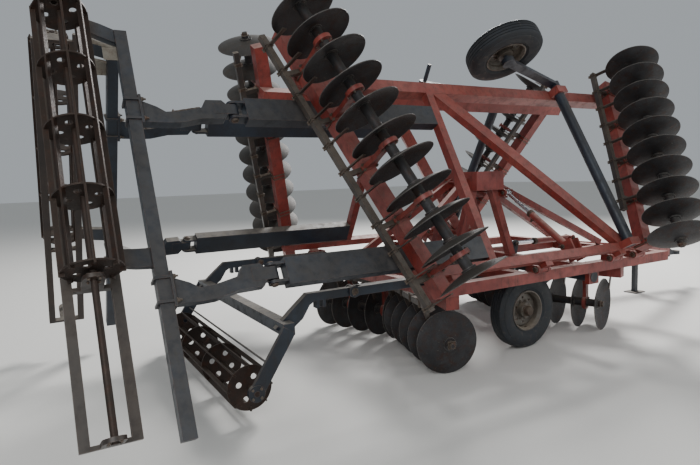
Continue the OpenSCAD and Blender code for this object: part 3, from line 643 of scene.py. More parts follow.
class HARROW_PG_paint(bpy.types.PropertyGroup):
    frame_red: bpy.props.FloatVectorProperty(
        name="Frame paint", description="Colour of the frame's paint",
        subtype="COLOR", size=4, min=0.0, max=1.0, default=linear("#742822"))
    frame_faded: bpy.props.FloatVectorProperty(
        name="Faded paint", description="The same paint where the sun has faded it",
        subtype="COLOR", size=4, min=0.0, max=1.0, default=linear("#8c4038"))
    arm_blue: bpy.props.FloatVectorProperty(
        name="Arm paint", description="Colour of the dark arms and booms",
        subtype="COLOR", size=4, min=0.0, max=1.0, default=linear("#151b24"))
    arm_faded: bpy.props.FloatVectorProperty(
        name="Faded arm paint", description="The arms' paint where the sun has faded it",
        subtype="COLOR", size=4, min=0.0, max=1.0, default=linear("#222c38"))
    dust: bpy.props.FloatVectorProperty(
        name="Dust", description="Dust on the red paint where it faces up",
        subtype="COLOR", size=4, min=0.0, max=1.0, default=linear("#a48378"))


class HARROW_PG_fittings(bpy.types.PropertyGroup):
    hanger_bar: bpy.props.FloatProperty(
        name="Hanger bar", description="Radius of the bent bars over the gang beams",
        default=5.5 * MM, min=3.0 * MM, max=8.0 * MM, precision=4, unit="LENGTH")
    hanger_nut: bpy.props.FloatProperty(
        name="Hanger nut", description="Width across the nuts of the hangers",
        default=19.0 * MM, min=12.0 * MM, max=24.0 * MM, precision=4, unit="LENGTH")
    shaft_nut: bpy.props.FloatProperty(
        name="Shaft nut", description="Width across the nuts of the disc shafts",
        default=54.0 * MM, min=40.0 * MM, max=60.0 * MM, precision=4, unit="LENGTH")
    clamp_nut: bpy.props.FloatProperty(
        name="Clamp nut", description="Width across the nuts of the roller clamps",
        default=26.0 * MM, min=16.0 * MM, max=30.0 * MM, precision=4, unit="LENGTH")
    pin_head: bpy.props.FloatProperty(
        name="Pin head", description="Radius of the washers of the pins",
        default=30.0 * MM, min=24.0 * MM, max=34.0 * MM, precision=4, unit="LENGTH")
    chain_wire: bpy.props.FloatProperty(
        name="Chain wire", description="Radius of the wire of the chains",
        default=6.0 * MM, min=4.0 * MM, max=8.0 * MM, precision=4, unit="LENGTH")


class HARROW_PG_tyres(bpy.types.PropertyGroup):
    groove_wide: bpy.props.FloatProperty(
        name="Groove width", description="Width of the grooves of the tread",
        default=8.0 * MM, min=4.0 * MM, max=12.0 * MM, precision=4, unit="LENGTH")
    groove_deep: bpy.props.FloatProperty(
        name="Groove depth", description="Depth of the grooves of the tread",
        default=9.0 * MM, min=4.0 * MM, max=14.0 * MM, precision=4, unit="LENGTH")


class HARROW_PG_stage(bpy.types.PropertyGroup):
    floor_margin: bpy.props.FloatProperty(
        name="Floor margin", description="Floor shown round the machine", default=60.0,
        min=0.0, unit="LENGTH")
    lens: bpy.props.FloatProperty(
        name="Lens", description="Focal length on a 36 mm sensor", default=29.04,
        min=1.0, unit="CAMERA")


# Paint and steel

# Dust and bared steel on the dark arms
ARM_DUST = "#7c756b"
ARM_BARE = "#1c1a1a"


class HARROW_OT_paint_frame(bpy.types.Operator):
    """Paint the red frame, the wings and the gang beams"""
    bl_idname = "harrow.paint_frame"
    bl_label = "Paint the frame"

    def execute(self, context):
        paint = context.scene.harrow_paint
        red = weathered_paint(RED_ENAMEL, paint.frame_red, paint.frame_faded, paint.dust,
                              chips=0.66)
        dress(cad_nodes("centre_rails", "centre_cross", "mast", "drawbar",
                        "centre_gang_beams", "wing_beams", "wing_gang_beams",
                        "fold_barrel", "lift_barrel"), red)
        dark = weathered_paint("weathered blue-grey enamel", paint.arm_blue,
                               paint.arm_faded, ARM_DUST, chips=0.68, bare=ARM_BARE)
        dress(cad_nodes("hitch", "park_stand", "centre_roller_booms", "centre_roller_carrier",
                        "axle_centre", "wing_axle", "roller_booms"), dark)
        bars = weathered_paint("rubbed scraper bar enamel", colour="#2a2725",
                               faded="#4d463f", dust="#8b8072", chips=0.6)
        dress(cad_nodes("centre_scrapers", "wing_scrapers"), bars)
        frames = weathered_paint("soil-scoured blue-grey enamel", paint.arm_blue,
                                 paint.arm_faded, ARM_DUST, chips=0.68, bare=ARM_BARE,
                                 gone_behind=DATUM_X + ROLLER_FRAME_X * MM)
        dress(cad_nodes("roller_carrier"), frames)
        rims = weathered_paint("weathered wheel enamel", colour="#4a4640", faded="#625c53",
                               dust="#857b6d", chips=0.62)
        dress(cad_nodes("rim_"), rims)
        return {"FINISHED"}


class HARROW_OT_finish_steel(bpy.types.Operator):
    """Give the discs, the rollers and the rods their bare steel"""
    bl_idname = "harrow.finish_steel"
    bl_label = "Finish the steel"

    def execute(self, context):
        # The lighter edge colour of each steel is partly worn steel and partly a painted
        # highlight
        discs = soil_worn_steel("soil-worn disc steel", colour="#29292b", paler="#3e3e40",
                                soil="#686258", rust="#3e281d", edge_wear_and_highlight="#928f88")
        dress(cad_nodes("gang_"), discs)
        bars = soil_worn_steel(ROLLER_STEEL, colour="#241c18", paler="#342924",
                               soil="#55493d", rust="#3f2417", edge_wear_and_highlight="#5e5148")
        dress(cad_nodes("centre_roller_cage", "roller_cage"), bars)
        dress(cad_nodes("fold_rod", "lift_rod"), hard_chrome("hard chrome rod"))
        return {"FINISHED"}


# Wheels

# Outline of a tyre in two stretches. Columns of the bead: out from its edge, up from its
# seat. Columns of the side wall: in from the widest place, down from the tread.
TYRE_BEAD = ((0, 0), (11, 9), (15, 22), (20, 26))
TYRE_WALL = ((1, 118), (0, 92), (1, 70), (4, 54), (5, 50), (9, 48), (11, 40), (18, 22),
             (24, 11), (31, 4))
# Places of the grooves on each side of the tread's middle, and how far their walls lean
GROOVES_AT = (44.0, 16.0)
GROOVE_SLOPE = 1.5
# The tread drops this far at that distance from its middle
CROWN_DROP = 2.5
CROWN_HALF = 50.0


def tyre_section(groove_wide, groove_deep):
    """Closed section of a ribbed tyre, as distance along the axle and radius"""
    half = [(BEAD_HALF + out, BEAD_R + up) for out, up in TYRE_BEAD]
    half += [(TYRE_HALF - inward, TYRE_R - down) for inward, down in TYRE_WALL]
    lip = groove_wide / 2
    foot = lip - GROOVE_SLOPE
    for place in GROOVES_AT:
        crown = TYRE_R - CROWN_DROP * (place / CROWN_HALF) ** 2
        half += [(place + lip, crown), (place + foot, crown - groove_deep),
                 (place - foot, crown - groove_deep), (place - lip, crown)]
    return half + [(-far, radius) for far, radius in reversed(half)]


class HARROW_OT_fit_tyres(bpy.types.Operator):
    """Fit the ribbed tyres"""
    bl_idname = "harrow.fit_tyres"
    bl_label = "Fit the tyres"

    def execute(self, context):
        sizes = context.scene.harrow_tyres
        rubber = road_rubber("dusty tyre rubber")
        section = tyre_section(sizes.groove_wide / MM, sizes.groove_deep / MM)
        for wheel in WHEELS:
            mesh = bmesh.new()
            turned(mesh, (0, 0, 0), (0, 0, 1), section, 96, closed=True)
            place = axis_place(wheel.joint, JOINTS[wheel.joint]["axis"])
            set_piece("ribbed_" + wheel.tyre, mesh, place, wheel.body, rubber,
                      [wheel.tyre])
        return {"FINISHED"}


# Nuts and bolts are given by the width across their flats
WHEEL_NUT = 22
# Columns: distance out from the hub, radius
HUB_CAP = ((-1, 0), (-1, 58), (6, 58), (8, 48), (40, 46), (50, 38), (54, 22), (55, 0))
CAP_BOLTS_R = 66
CAP_BOLT = 13
# Columns: distance from the axle, distance out from the wheel's disc
VALVE = ((176, 20), (168, 34), (160, 62))
VALVE_R = 4


class HARROW_OT_fit_wheel_nuts(bpy.types.Operator):
    """Fit the wheel nuts, the hub caps and the valves"""
    bl_idname = "harrow.fit_wheel_nuts"
    bl_label = "Fit the wheel nuts"

    def execute(self, context):
        for wheel in WHEELS:
            mesh = bmesh.new()
            for at in ring("z", WHEEL_NUTS_R, 8, 22.5):
                for face in (-1, 1):
                    nut(mesh, (at.x, at.y, face * WHEEL_DISC_HALF), (0, 0, face), WHEEL_NUT)
            out = wheel.outwards
            turned(mesh, (0, 0, out * HUB_HALF), (0, 0, out), HUB_CAP, 24)
            for at in ring("z", CAP_BOLTS_R, 6):
                nut(mesh, (at.x, at.y, out * HUB_HALF), (0, 0, out), CAP_BOLT, 0)
            bent_bar(mesh, [(0, radius, out * far) for radius, far in VALVE], VALVE_R)
            place = axis_place(wheel.joint, JOINTS[wheel.joint]["axis"])
            set_bolts("wheel_nuts_" + wheel.body, mesh, place, wheel.body)
        return {"FINISHED"}


# Gangs

# Bent bars that pull a hanger to its beam: how far apart, and how far past the plate
HANGER_BARS = 44
HANGER_BAR_END = 24
HOUSING_NUT = 16
NIPPLE_R = 5
NIPPLE_HIGH = 14


class HARROW_OT_bolt_hangers(bpy.types.Operator):
    """Bolt the bearing hangers to the gang beams with bent bars"""
    bl_idname = "harrow.bolt_hangers"
    bl_label = "Bolt the hangers"

    def execute(self, context):
        sizes = context.scene.harrow_fittings
        bar = sizes.hanger_bar / MM
        flats = sizes.hanger_nut / MM
        leg = GANG_BEAM / 2 + bar
        for gang, name, carrier, place in gangs_and_sides():
            low = gang.depth - HANGER_PLATE
            end = low - HANGER_BAR_END
            top = gang.depth + GANG_BEAM + bar
            mesh = bmesh.new()
            for index in range(0, gang.discs - 1, 2):
                middle = (index + 0.5) * DISC_PITCH
                for x in (middle - HANGER_BARS / 2, middle + HANGER_BARS / 2):
                    bent_bar(mesh, [(x, -leg, end), (x, -leg, top), (x, leg, top),
                                    (x, leg, end)], bar)
                    for hand in (-1, 1):
                        nut(mesh, (x, hand * leg, low), (0, 0, -1), flats, 0)
                for face in (-1, 1):
                    plate = Vector((middle + face * HANGER / 2, 0, 0))
                    for at in ring("x", HOUSING_BOLTS_R, 4, 45):
                        nut(mesh, plate + at, (face, 0, 0), HOUSING_NUT)
                prism(mesh, (middle, 0, HOUSING_TOP), (0, 0, 1), NIPPLE_R, NIPPLE_HIGH, 8, 0.6)
            set_bolts("hanger_bolts_" + name, mesh, place, carrier)
        return {"FINISHED"}


# Square lock plates, and the nuts that stand on them
LOCK_PLATE_HALF = 35
LOCK_PLATE_END = 5
LOCK_PLATE_CLEAR = 0.3
SHAFT_NUT_HIGH = 22


class HARROW_OT_tighten_gangs(bpy.types.Operator):
    """Put the nuts and the square lock plates on the ends of the disc shafts"""
    bl_idname = "harrow.tighten_gangs"
    bl_label = "Tighten the gangs"

    def execute(self, context):
        corner = context.scene.harrow_fittings.shaft_nut / MM / math.sqrt(3)
        for gang, name, _, place in gangs_and_sides():
            span = (gang.discs - 1) * DISC_PITCH
            mesh = bmesh.new()
            for start, way in ((-SHAFT_COLLAR, -1), (span + SHAFT_COLLAR, 1)):
                outer = start + way * LOCK_PLATE_END
                ends = sorted((start + way * LOCK_PLATE_CLEAR, outer))
                block(mesh, (ends[0], -LOCK_PLATE_HALF, -LOCK_PLATE_HALF),
                      (ends[1], LOCK_PLATE_HALF, LOCK_PLATE_HALF), soften=2)
                prism(mesh, (outer, 0, 0), (way, 0, 0), corner, SHAFT_NUT_HIGH, 6, 0.95)
            set_bolts("shaft_nuts_" + name, mesh, place, "gang_" + name)
        return {"FINISHED"}


# Clamps of the scraper straps: a plate on the bar and two bent bars round it
STRAP_PLATE_HALF = 16
STRAP_PLATE_PAST = 14
STRAP_PLATE_THICK = 8
STRAP_BARS = 20
STRAP_BAR_R = 4
STRAP_BAR_CLEAR = 5
STRAP_BAR_PAST = 20
STRAP_NUT = 13


class HARROW_OT_clamp_scrapers(bpy.types.Operator):
    """Clamp the scraper straps to their bars"""
    bl_idname = "harrow.clamp_scrapers"
    bl_label = "Clamp the scrapers"

    def execute(self, context):
        half = SCRAPER_BAR / 2
        face = SCRAPER_HIGH + half
        plate_top = face + STRAP_PLATE_THICK
        low, top = SCRAPER_HIGH - half - STRAP_BAR_CLEAR, face + STRAP_BAR_PAST
        for gang, name, carrier, place in gangs_and_sides():
            mesh = bmesh.new()
            middle = gang.bar_side * SCRAPER_AWAY
            inner, outer = middle - half - STRAP_BAR_CLEAR, middle + half + STRAP_BAR_CLEAR
            reach = half + STRAP_PLATE_PAST
            for index in range(gang.first_strap, gang.discs):
                strap = index * DISC_PITCH + gang.strap_side * STRAP_BESIDE
                block(mesh, (strap - STRAP_PLATE_HALF, middle - reach, face),
                      (strap + STRAP_PLATE_HALF, middle + reach, plate_top), soften=1.5)
                for x in (strap - STRAP_BARS / 2, strap + STRAP_BARS / 2):
                    bent_bar(mesh, [(x, inner, top), (x, inner, low), (x, outer, low),
                                    (x, outer, top)], STRAP_BAR_R, 6)
                    for y in (inner, outer):
                        nut(mesh, (x, y, plate_top), (0, 0, 1), STRAP_NUT, 0)
            set_bolts("scraper_clamps_" + name, mesh, place, carrier)
        return {"FINISHED"}


# Pins

# Heights of a pin's washer, its split pin and its end over the face that it comes out of
PIN_WASHER = 6
SPLIT_PIN_AT = 9
PIN_END = 15
SPLIT_PIN_R = 2.6
# Bends of a split pin. Columns: how far past the side of its pin, how far up
SPLIT_PIN = ((-12, 0), (9, 0), (14, 5))
CYLINDER_PIN_HEAD = 24


def pin_head(mesh, at, along, radius, pin):
    """Washer, head and split pin at the end of a pin"""
    turned(mesh, at, along,
           [(0, 0), (0, radius), (PIN_WASHER - 1, radius), (PIN_WASHER, radius - 1),
            (PIN_WASHER, pin + 3), (PIN_END - 3, pin + 2), (PIN_END, pin - 3), (PIN_END, 0)], 20)
    across = along.orthogonal().normalized()
    middle = at + along * SPLIT_PIN_AT
    bent_bar(mesh, [middle + across * (math.copysign(pin, past) + past) + along * up
                    for past, up in SPLIT_PIN], SPLIT_PIN_R, 6)


def head_pin(mesh, middle, along, half, radius, pin):
    """Heads both ends of a pin that reaches half of its length to each side"""
    for way in (-1, 1):
        along_out = way * Vector(along)
        pin_head(mesh, Vector(middle) + half * along_out, along_out, radius, pin)


class HARROW_OT_head_pins(bpy.types.Operator):
    """Head the hinge pins of the wings, the booms and the cylinders"""
    bl_idname = "harrow.head_pins"
    bl_label = "Head the pins"

    def execute(self, context):
        radius = context.scene.harrow_fittings.pin_head / MM
        lengthwise, crosswise = (1, 0, 0), (0, 1, 0)
        small = (CYLINDER_PIN_HEAD, CYLINDER_PIN_R)
        lug = drawn_at("fold_barrel_swivel_left", True)
        arm = drawn_at("roller_lift_left", True)
        for side in SIDES:
            mesh = bmesh.new()
            for x in HINGE_XS:
                hinge = (x, FOLD_HINGE.y / MM, FOLD_HINGE.z / MM)
                head_pin(mesh, hinge, lengthwise, HINGE_PIN_HALF, radius, PIN_R)
            head_pin(mesh, lug, lengthwise, LUG_PIN_HALF, *small)
            set_bolts("wing_pins_" + side, mesh, datum_place(side, True), "wing_" + side)
            mesh = bmesh.new()
            for y in BOOM_YS:
                head_pin(mesh, (arm.x, y, arm.z), crosswise, ARM_PIN_HALF, radius, PIN_R)
            set_bolts("arm_pins_" + side, mesh, datum_place(side, True),
                      "roller_arm_" + side)
        centre = datum_place("left", False)
        mast = drawn_at("fold_rod_slide_left", False)
        mesh = bmesh.new()
        for hand in (-1, 1):
            head_pin(mesh, (mast.x, hand * mast.y, mast.z), lengthwise, LUG_PIN_HALF, *small)
        head_pin(mesh, drawn_at("lift_barrel_swivel", False), crosswise, LUG_PIN_HALF, *small)
        set_bolts("mast_pins", mesh, centre, "root")
        mesh = bmesh.new()
        head_pin(mesh, drawn_at("lift_rod_slide", False), crosswise, CRANK_PIN_HALF, *small)
        set_bolts("crank_pins", mesh, centre, "axle_centre_body")
        arm = drawn_at("roller_lift_centre", False)
        mesh = bmesh.new()
        for hand in (-1, 1):
            head_pin(mesh, (arm.x, hand * CENTRE_BOOM_Y, arm.z), crosswise,
                     CENTRE_ARM_PIN_HALF, radius, PIN_R)
        set_bolts("centre_arm_pins", mesh, centre, "roller_arm_centre")
        return {"FINISHED"}


# Cylinders

# A gland reaches back over the barrel and past its end, with its mouth round the rod
GLAND_OVER = 30
GLAND_PAST = 6
GLAND_NOSE = 10
GLAND_WALL = 5
GLAND_SUNK = 1
GLAND_CLEAR = 0.5
ROD_CLEAR = 1.5
# Oil ports, from the eye and back from the barrel's end, sunk a little into the barrel.
# Columns of their parts: radius, height, sides.
PORT_FROM_EYE = 70
PORT_FROM_END = 60
PORT_SUNK = 3
OIL_PORT = ((17, 16, 12), (13, 14, 6), (8, 10, 10))


class HARROW_OT_fit_glands(bpy.types.Operator):
    """Screw the glands and the oil ports on the cylinders"""
    bl_idname = "harrow.fit_glands"
    bl_label = "Fit the glands"

    def execute(self, context):
        rim, inside, mouth = BARREL_R + GLAND_WALL, BARREL_R - GLAND_SUNK, ROD_R + ROD_CLEAR
        for name, eye, rod, body, end in CYLINDERS:
            mesh = bmesh.new()
            turned(mesh, (0, 0, 0), (0, 0, 1),
                   [(end - GLAND_OVER, inside), (end - GLAND_OVER, rim),
                    (end + GLAND_PAST, rim), (end + GLAND_NOSE, BARREL_R),
                    (end + GLAND_NOSE, mouth), (end + GLAND_CLEAR, mouth),
                    (end + GLAND_CLEAR, inside)], 32, closed=True)
            for far in (PORT_FROM_EYE, end - PORT_FROM_END):
                base = BARREL_R - PORT_SUNK
                for radius, height, sides in OIL_PORT:
                    prism(mesh, (0, base, far), (0, 1, 0), radius, height, sides)
                    base += height
            set_bolts("glands_" + name, mesh, axis_place(eye, JOINTS[rod]["axis"]), body)
        return {"FINISHED"}


# Rollers

BEARING_NUT = 14
CENTRE_BEARING_NUT = 16


class HARROW_OT_bolt_rollers(bpy.types.Operator):
    """Bolt the roller arms to their tubes and the bearings to the roller frames"""
    bl_idname = "harrow.bolt_rollers"
    bl_label = "Bolt the rollers"

    def execute(self, context):
        flats = context.scene.harrow_fittings.clamp_nut / MM
        arm = drawn_at("roller_lift_left", True)
        roller = drawn_at("roller_turn_left", True)
        aside, high = TUBE_BOLTS
        for side in SIDES:
            mesh = bmesh.new()
            for boom in BOOM_YS:
                tube = Vector((TUBE_CLAMP_X, boom + TUBE_CLAMP_ASIDE, arm.z))
                for y in (-aside, aside):
                    for z in (-high, high):
                        nut(mesh, tube + Vector((0, y, z)), (1, 0, 0), flats, 0.6)
            for y, way in ROLLER_BEARINGS:
                bearing = Vector((roller.x, y, roller.z))
                for at in ring("y", BEARING_BOLTS_R, 4, 45):
                    nut(mesh, bearing + at, (0, way, 0), BEARING_NUT, 0)
            set_bolts("roller_bolts_" + side, mesh, datum_place(side, True),
                      "roller_arm_" + side)
        roller = drawn_at("roller_turn_centre", False)
        mesh = bmesh.new()
        for hand in (-1, 1):
            bearing = Vector((roller.x, hand * CENTRE_BEARING_Y, roller.z))
            for at in ring("y", CENTRE_BOLTS_R, 4, 45):
                nut(mesh, bearing + at, (0, hand, 0), CENTRE_BEARING_NUT)
        set_bolts("centre_roller_bolts", mesh, datum_place("left", False),
                  "roller_arm_centre")
        return {"FINISHED"}


# Radius of the bends of a chain's links, as a share of their wire's
LINK_BEND = 2.2


def chain(mesh, start, end, wire, links):
    """A chain laid in a line, every second link turned on its side"""
    run = (end - start) / links
    bend = LINK_BEND * wire
    corners = [math.radians(60 * corner) for corner in range(6)]
    section = [(wire * math.sin(a), bend + wire * math.cos(a)) for a in corners]
    turn = Vector((1.0, 0.0, 0.0)).rotation_difference(run.normalized()).to_matrix().to_4x4()
    for count in range(links):
        made = turned(mesh, (0, 0, 0), (0, 0, 1), section, 12, closed=True)
        for vert in made:
            vert.co.x += math.copysign(run.length / 2 + wire - bend, vert.co.x)
        middle = Matrix.Translation(start + run * (count + 0.5))
        twist = Matrix.Rotation(math.radians(90 * (count % 2) + 12), 4, "X")
        bmesh.ops.transform(mesh, matrix=middle @ turn @ twist, verts=made)


# Chain on the outer roller arm, with its eye and its peg, and the strut of the roller
# frame with its foot, as places from the outer boom's pin
CHAIN = ((-450, -16, 8), (-270, 23, 8))
CHAIN_LINKS = 6
CHAIN_EYE = ((-460, -45, -10), (-460, -9, -10), (-460, -9, 22), (-460, -45, 22))
CHAIN_EYE_R = 7
CHAIN_PEG = (-262, -3, 8)
CHAIN_PEG_R = 15
CHAIN_PEG_LONG = 34
STRUT = ((-1010, 547, -58), (-820, 530, -12), (-780, 525, -2))
STRUT_R = 13
STRUT_FOOT = ((-880, 413, -16), (-776, 535, -8))


class HARROW_OT_hang_chains(bpy.types.Operator):
    """Lay the chains on the upper roller arms and fit the struts of the roller frames"""
    bl_idname = "harrow.hang_chains"
    bl_label = "Hang the chains"

    def execute(self, context):
        wire = context.scene.harrow_fittings.chain_wire / MM
        # The lighter edge colour of the tube is partly worn steel and partly a painted highlight
        tube = soil_worn_steel("dusty bare tube steel", colour="#77726a", paler="#918b80",
                               soil="#a49a88", rust="#5b4534", edge_wear_and_highlight="#b5afa4")
        arm = drawn_at("roller_lift_left", True)
        arm.y = BOOM_YS[-1]
        start, end = (arm + Vector(point) for point in CHAIN)
        eye = [arm + Vector(point) for point in CHAIN_EYE]
        strut = [arm + Vector(point) for point in STRUT]
        foot = [arm + Vector(corner) for corner in STRUT_FOOT]
        for side in SIDES:
            place = datum_place(side, True)
            mesh = bmesh.new()
            chain(mesh, start, end, wire, CHAIN_LINKS)
            bent_bar(mesh, eye, CHAIN_EYE_R)
            prism(mesh, arm + Vector(CHAIN_PEG), (0, 1, 0), CHAIN_PEG_R, CHAIN_PEG_LONG, 12)
            set_bolts("arm_chain_" + side, mesh, place, "roller_arm_" + side)
            mesh = bmesh.new()
            bent_bar(mesh, strut, STRUT_R, 12)
            block(mesh, *foot, soften=1)
            set_piece("frame_strut_" + side, mesh, place, "roller_arm_" + side, tube)
        return {"FINISHED"}


BAR_POINT_R = 14
BAR_POINT_LONG = 28


class HARROW_OT_point_bars(bpy.types.Operator):
    """Point the ends of the roller bars"""
    bl_idname = "harrow.point_bars"
    bl_label = "Point the roller bars"

    def execute(self, context):
        roller = drawn_at("roller_turn_left", True)
        roller.y = BAR_ENDS_Y
        for side in SIDES:
            mesh = bmesh.new()
            for at in ring("y", BAR_ENDS_R, 8):
                prism(mesh, roller + at, (0, 1, 0), BAR_POINT_R, BAR_POINT_LONG, 4, 0.25)
            set_piece("bar_points_" + side, mesh, datum_place(side, True), "roller_" + side,
                      bpy.data.materials[ROLLER_STEEL])
        return {"FINISHED"}


# Mast, welds and hitch

# Pairs of lug plates on each face of the mast's head, with rods across them
LUG_Y = 150
LUG_GAP = 6
LUG_THICK = 10
LUG_OUT = 62
LUG_ZS = (1500, 1690)
CROSS_ROD_OUT = 38
CROSS_ROD_ZS = (1535, 1652)
CROSS_ROD_R = 11
CROSS_ROD_NUT = 26


class HARROW_OT_fit_mast_plates(bpy.types.Operator):
    """Weld the lug plates on the head of the mast, with their cross rods and bolts"""
    bl_idname = "harrow.fit_mast_plates"
    bl_label = "Fit the mast plates"

    def execute(self, context):
        low, high = LUG_ZS
        inner = LUG_Y - LUG_GAP / 2 - LUG_THICK
        outer = LUG_Y + LUG_GAP / 2 + LUG_THICK
        plates = bmesh.new()
        bolts = bmesh.new()
        for face, way in ((MAST_HEAD_FRONT, 1), (MAST_HEAD_BACK, -1)):
            back, front = sorted((face, face + way * LUG_OUT))
            for y in (-outer, -inner - LUG_THICK, inner, outer - LUG_THICK):
                block(plates, (back, y, low), (front, y + LUG_THICK, high), soften=2)
            x = face + way * CROSS_ROD_OUT
            for z in CROSS_ROD_ZS:
                for hand in (-1, 1):
                    nut(bolts, (x, hand * outer, z), (0, hand, 0), CROSS_ROD_NUT)
                    nut(bolts, (x, hand * inner, z), (0, -hand, 0), CROSS_ROD_NUT)
                bent_bar(plates, [(x, -inner, z), (x, inner, z)], CROSS_ROD_R, 12)
        place = datum_place("left", False)
        set_piece("mast_plates", plates, place, "root",
                  bpy.data.materials[RED_ENAMEL])
        set_bolts("mast_bolts", bolts, place, "root")
        return {"FINISHED"}


class HARROW_OT_lay_welds(bpy.types.Operator):
    """Lay the weld beads on the frame, the mast and the wings"""
    bl_idname = "harrow.lay_welds"
    bl_label = "Lay the welds"

    def execute(self, context):
        red = bpy.data.materials[RED_ENAMEL]
        mesh = bmesh.new()
        for hand in (-1, 1):
            foot_in, foot_out = (hand * y for y in MAST_FEET_YS)
            ear_in, ear_out = (hand * y for y in HINGE_EAR_YS)
            rail = hand * RAIL_INNER_Y
            for foot in MAST_FEET_XS:
                weld_bead(mesh, (foot, foot_in, FRAME_TOP), (foot, foot_out, FRAME_TOP))
            for x in HINGE_XS:
                for ear in HINGE_EARS:
                    weld_bead(mesh, (x + ear, ear_in, FRAME_TOP), (x + ear, ear_out, FRAME_TOP))
            for x in CROSS_BEAM_XS:
                for edge in (x - CROSS_BEAM / 2, x + CROSS_BEAM / 2):
                    weld_bead(mesh, (edge, rail, FRAME_TOP - CROSS_BEAM + WELD_STOPS),
                              (edge, rail, FRAME_TOP))
        set_piece("frame_welds", mesh, datum_place("left", False), "root", red)
        front, back = WING_BEAM_X + WING_BEAM / 2, WING_BEAM_X - WING_BEAM / 2
        low, high = WING_TOP - WING_BEAM + WELD_STOPS, WING_TOP - WELD_STOPS
        wide = BOOM_HALF - WELD_STOPS
        for side in SIDES:
            mesh = bmesh.new()
            for y in WING_RAIL_YS:
                for x in (back, front):
                    weld_bead(mesh, (x, y, low), (x, y, high))
                weld_bead(mesh, (back + WELD_STOPS, y, WING_TOP),
                          (front - WELD_STOPS, y, WING_TOP))
            for y in BOOM_YS:
                weld_bead(mesh, (back, y - wide, WING_TOP), (back, y + wide, WING_TOP))
            set_piece("wing_welds_" + side, mesh, datum_place(side, True), "wing_" + side, red)
        return {"FINISHED"}


HITCH_NUT = 30
# Lock screw of the stand and the bar through its head, as places from the stand's joint
LOCK_SCREW = (50, 0, 40)
LOCK_BAR = ((84, -46, 40), (84, 46, 40))
LOCK_BAR_R = 6


class HARROW_OT_bolt_hitch(bpy.types.Operator):
    """Bolt the hitch to the drawbar and fit the lock screw of the stand"""
    bl_idname = "harrow.bolt_hitch"
    bl_label = "Bolt the hitch"

    def execute(self, context):
        aside, high = HITCH_BOLTS
        mesh = bmesh.new()
        for y in (-aside, aside):
            for z in (HITCH_Z - high, HITCH_Z + high):
                nut(mesh, (HITCH_PLATE_X, y, z), (1, 0, 0), HITCH_NUT)
        stand = drawn_at("stand_slide", False)
        nut(mesh, stand + Vector(LOCK_SCREW), (1, 0, 0), HITCH_NUT, 0.8)
        bent_bar(mesh, [stand + Vector(end) for end in LOCK_BAR], LOCK_BAR_R)
        set_bolts("hitch_bolts", mesh, datum_place("left", False), "root")
        return {"FINISHED"}


# Stage

FLOOR_PAPER = "#d9d7d2"
SKY = "#dfe6ec"
SKY_STRENGTH = 0.5
# Columns: name, place, width and height, power in watts
LAMPS = (
    ("sun side", (6.0, 6.5, 9.0), (3.5, 3.5), 2600.0),
    ("front", (-8.0, -9.0, 6.0), (6.0, 6.0), 620.0),
    ("fill", (7.5, -8.0, 4.0), (6.0, 6.0), 260.0),
)
LAMPS_AIM = Vector((0.0, 0.0, 1.2))
# The photograph's viewpoint, found from the known sizes of the machine: its place in metres
# and its turns
CAMERA_AT = (DATUM_X - 5.25, -4.795, 1.756)
CAMERA_YAW = math.radians(59.908)
CAMERA_PITCH = math.radians(5.724)
CAMERA_ROLL = math.radians(-1.75)
SENSOR = 36.0
SEES_TO = 200.0


def lay_floor(margin):
    """Matt studio paper, pale and without a pattern, so that the eye sees only shadows"""
    low, high = CAD_BOX
    mesh = bmesh.new()
    bmesh.ops.create_grid(mesh, x_segments=1, y_segments=1, size=1.0)
    centre = (low + high) / 2
    reach = max(high.x - low.x, high.y - low.y) / 2 + margin
    bmesh.ops.scale(mesh, vec=(reach, reach, 1.0), verts=mesh.verts)
    bmesh.ops.translate(mesh, vec=(centre.x, centre.y, 0.0), verts=mesh.verts)
    data = bpy.data.meshes.new("floor")
    mesh.to_mesh(data)
    mesh.free()
    floor = bpy.data.objects.new("floor", data)
    bpy.context.scene.collection.objects.link(floor)
    material, tree, _ = start_material("pale studio floor")
    close_material(tree, FLOOR_PAPER, 0.85, 0.0)
    floor.data.materials.append(material)


def hang_lamps(scene):
    """Soft lamps that point at the machine"""
    for name, place, size, power in LAMPS:
        lamp = bpy.data.lights.new(name, "AREA")
        lamp.shape = "RECTANGLE"
        lamp.size, lamp.size_y = size
        lamp.energy = power
        obj = bpy.data.objects.new(name, lamp)
        obj.location = place
        obj.rotation_mode = "QUATERNION"
        aim = LAMPS_AIM - Vector(place)
        obj.rotation_quaternion = aim.to_track_quat("-Z", "Y")
        scene.collection.objects.link(obj)


def place_camera(scene, lens):
    """Sets the camera where the photograph was taken from"""
    yaw, pitch, roll = CAMERA_YAW, CAMERA_PITCH, CAMERA_ROLL
    ahead = Vector((math.cos(yaw) * math.cos(pitch), math.sin(yaw) * math.cos(pitch),
                    -math.sin(pitch)))
    level = Vector((math.sin(yaw), -math.cos(yaw), 0.0))
    above = level.cross(ahead)
    right = level * math.cos(roll) + above * math.sin(roll)
    top = above * math.cos(roll) - level * math.sin(roll)
    camera = bpy.data.cameras.new("camera")
    camera.sensor_width = SENSOR
    camera.lens = lens
    camera.clip_end = SEES_TO
    obj = bpy.data.objects.new("camera", camera)
    turn = Matrix((right, top, -ahead)).transposed().to_4x4()
    obj.matrix_world = Matrix.Translation(CAMERA_AT) @ turn
    scene.collection.objects.link(obj)
    scene.camera = obj


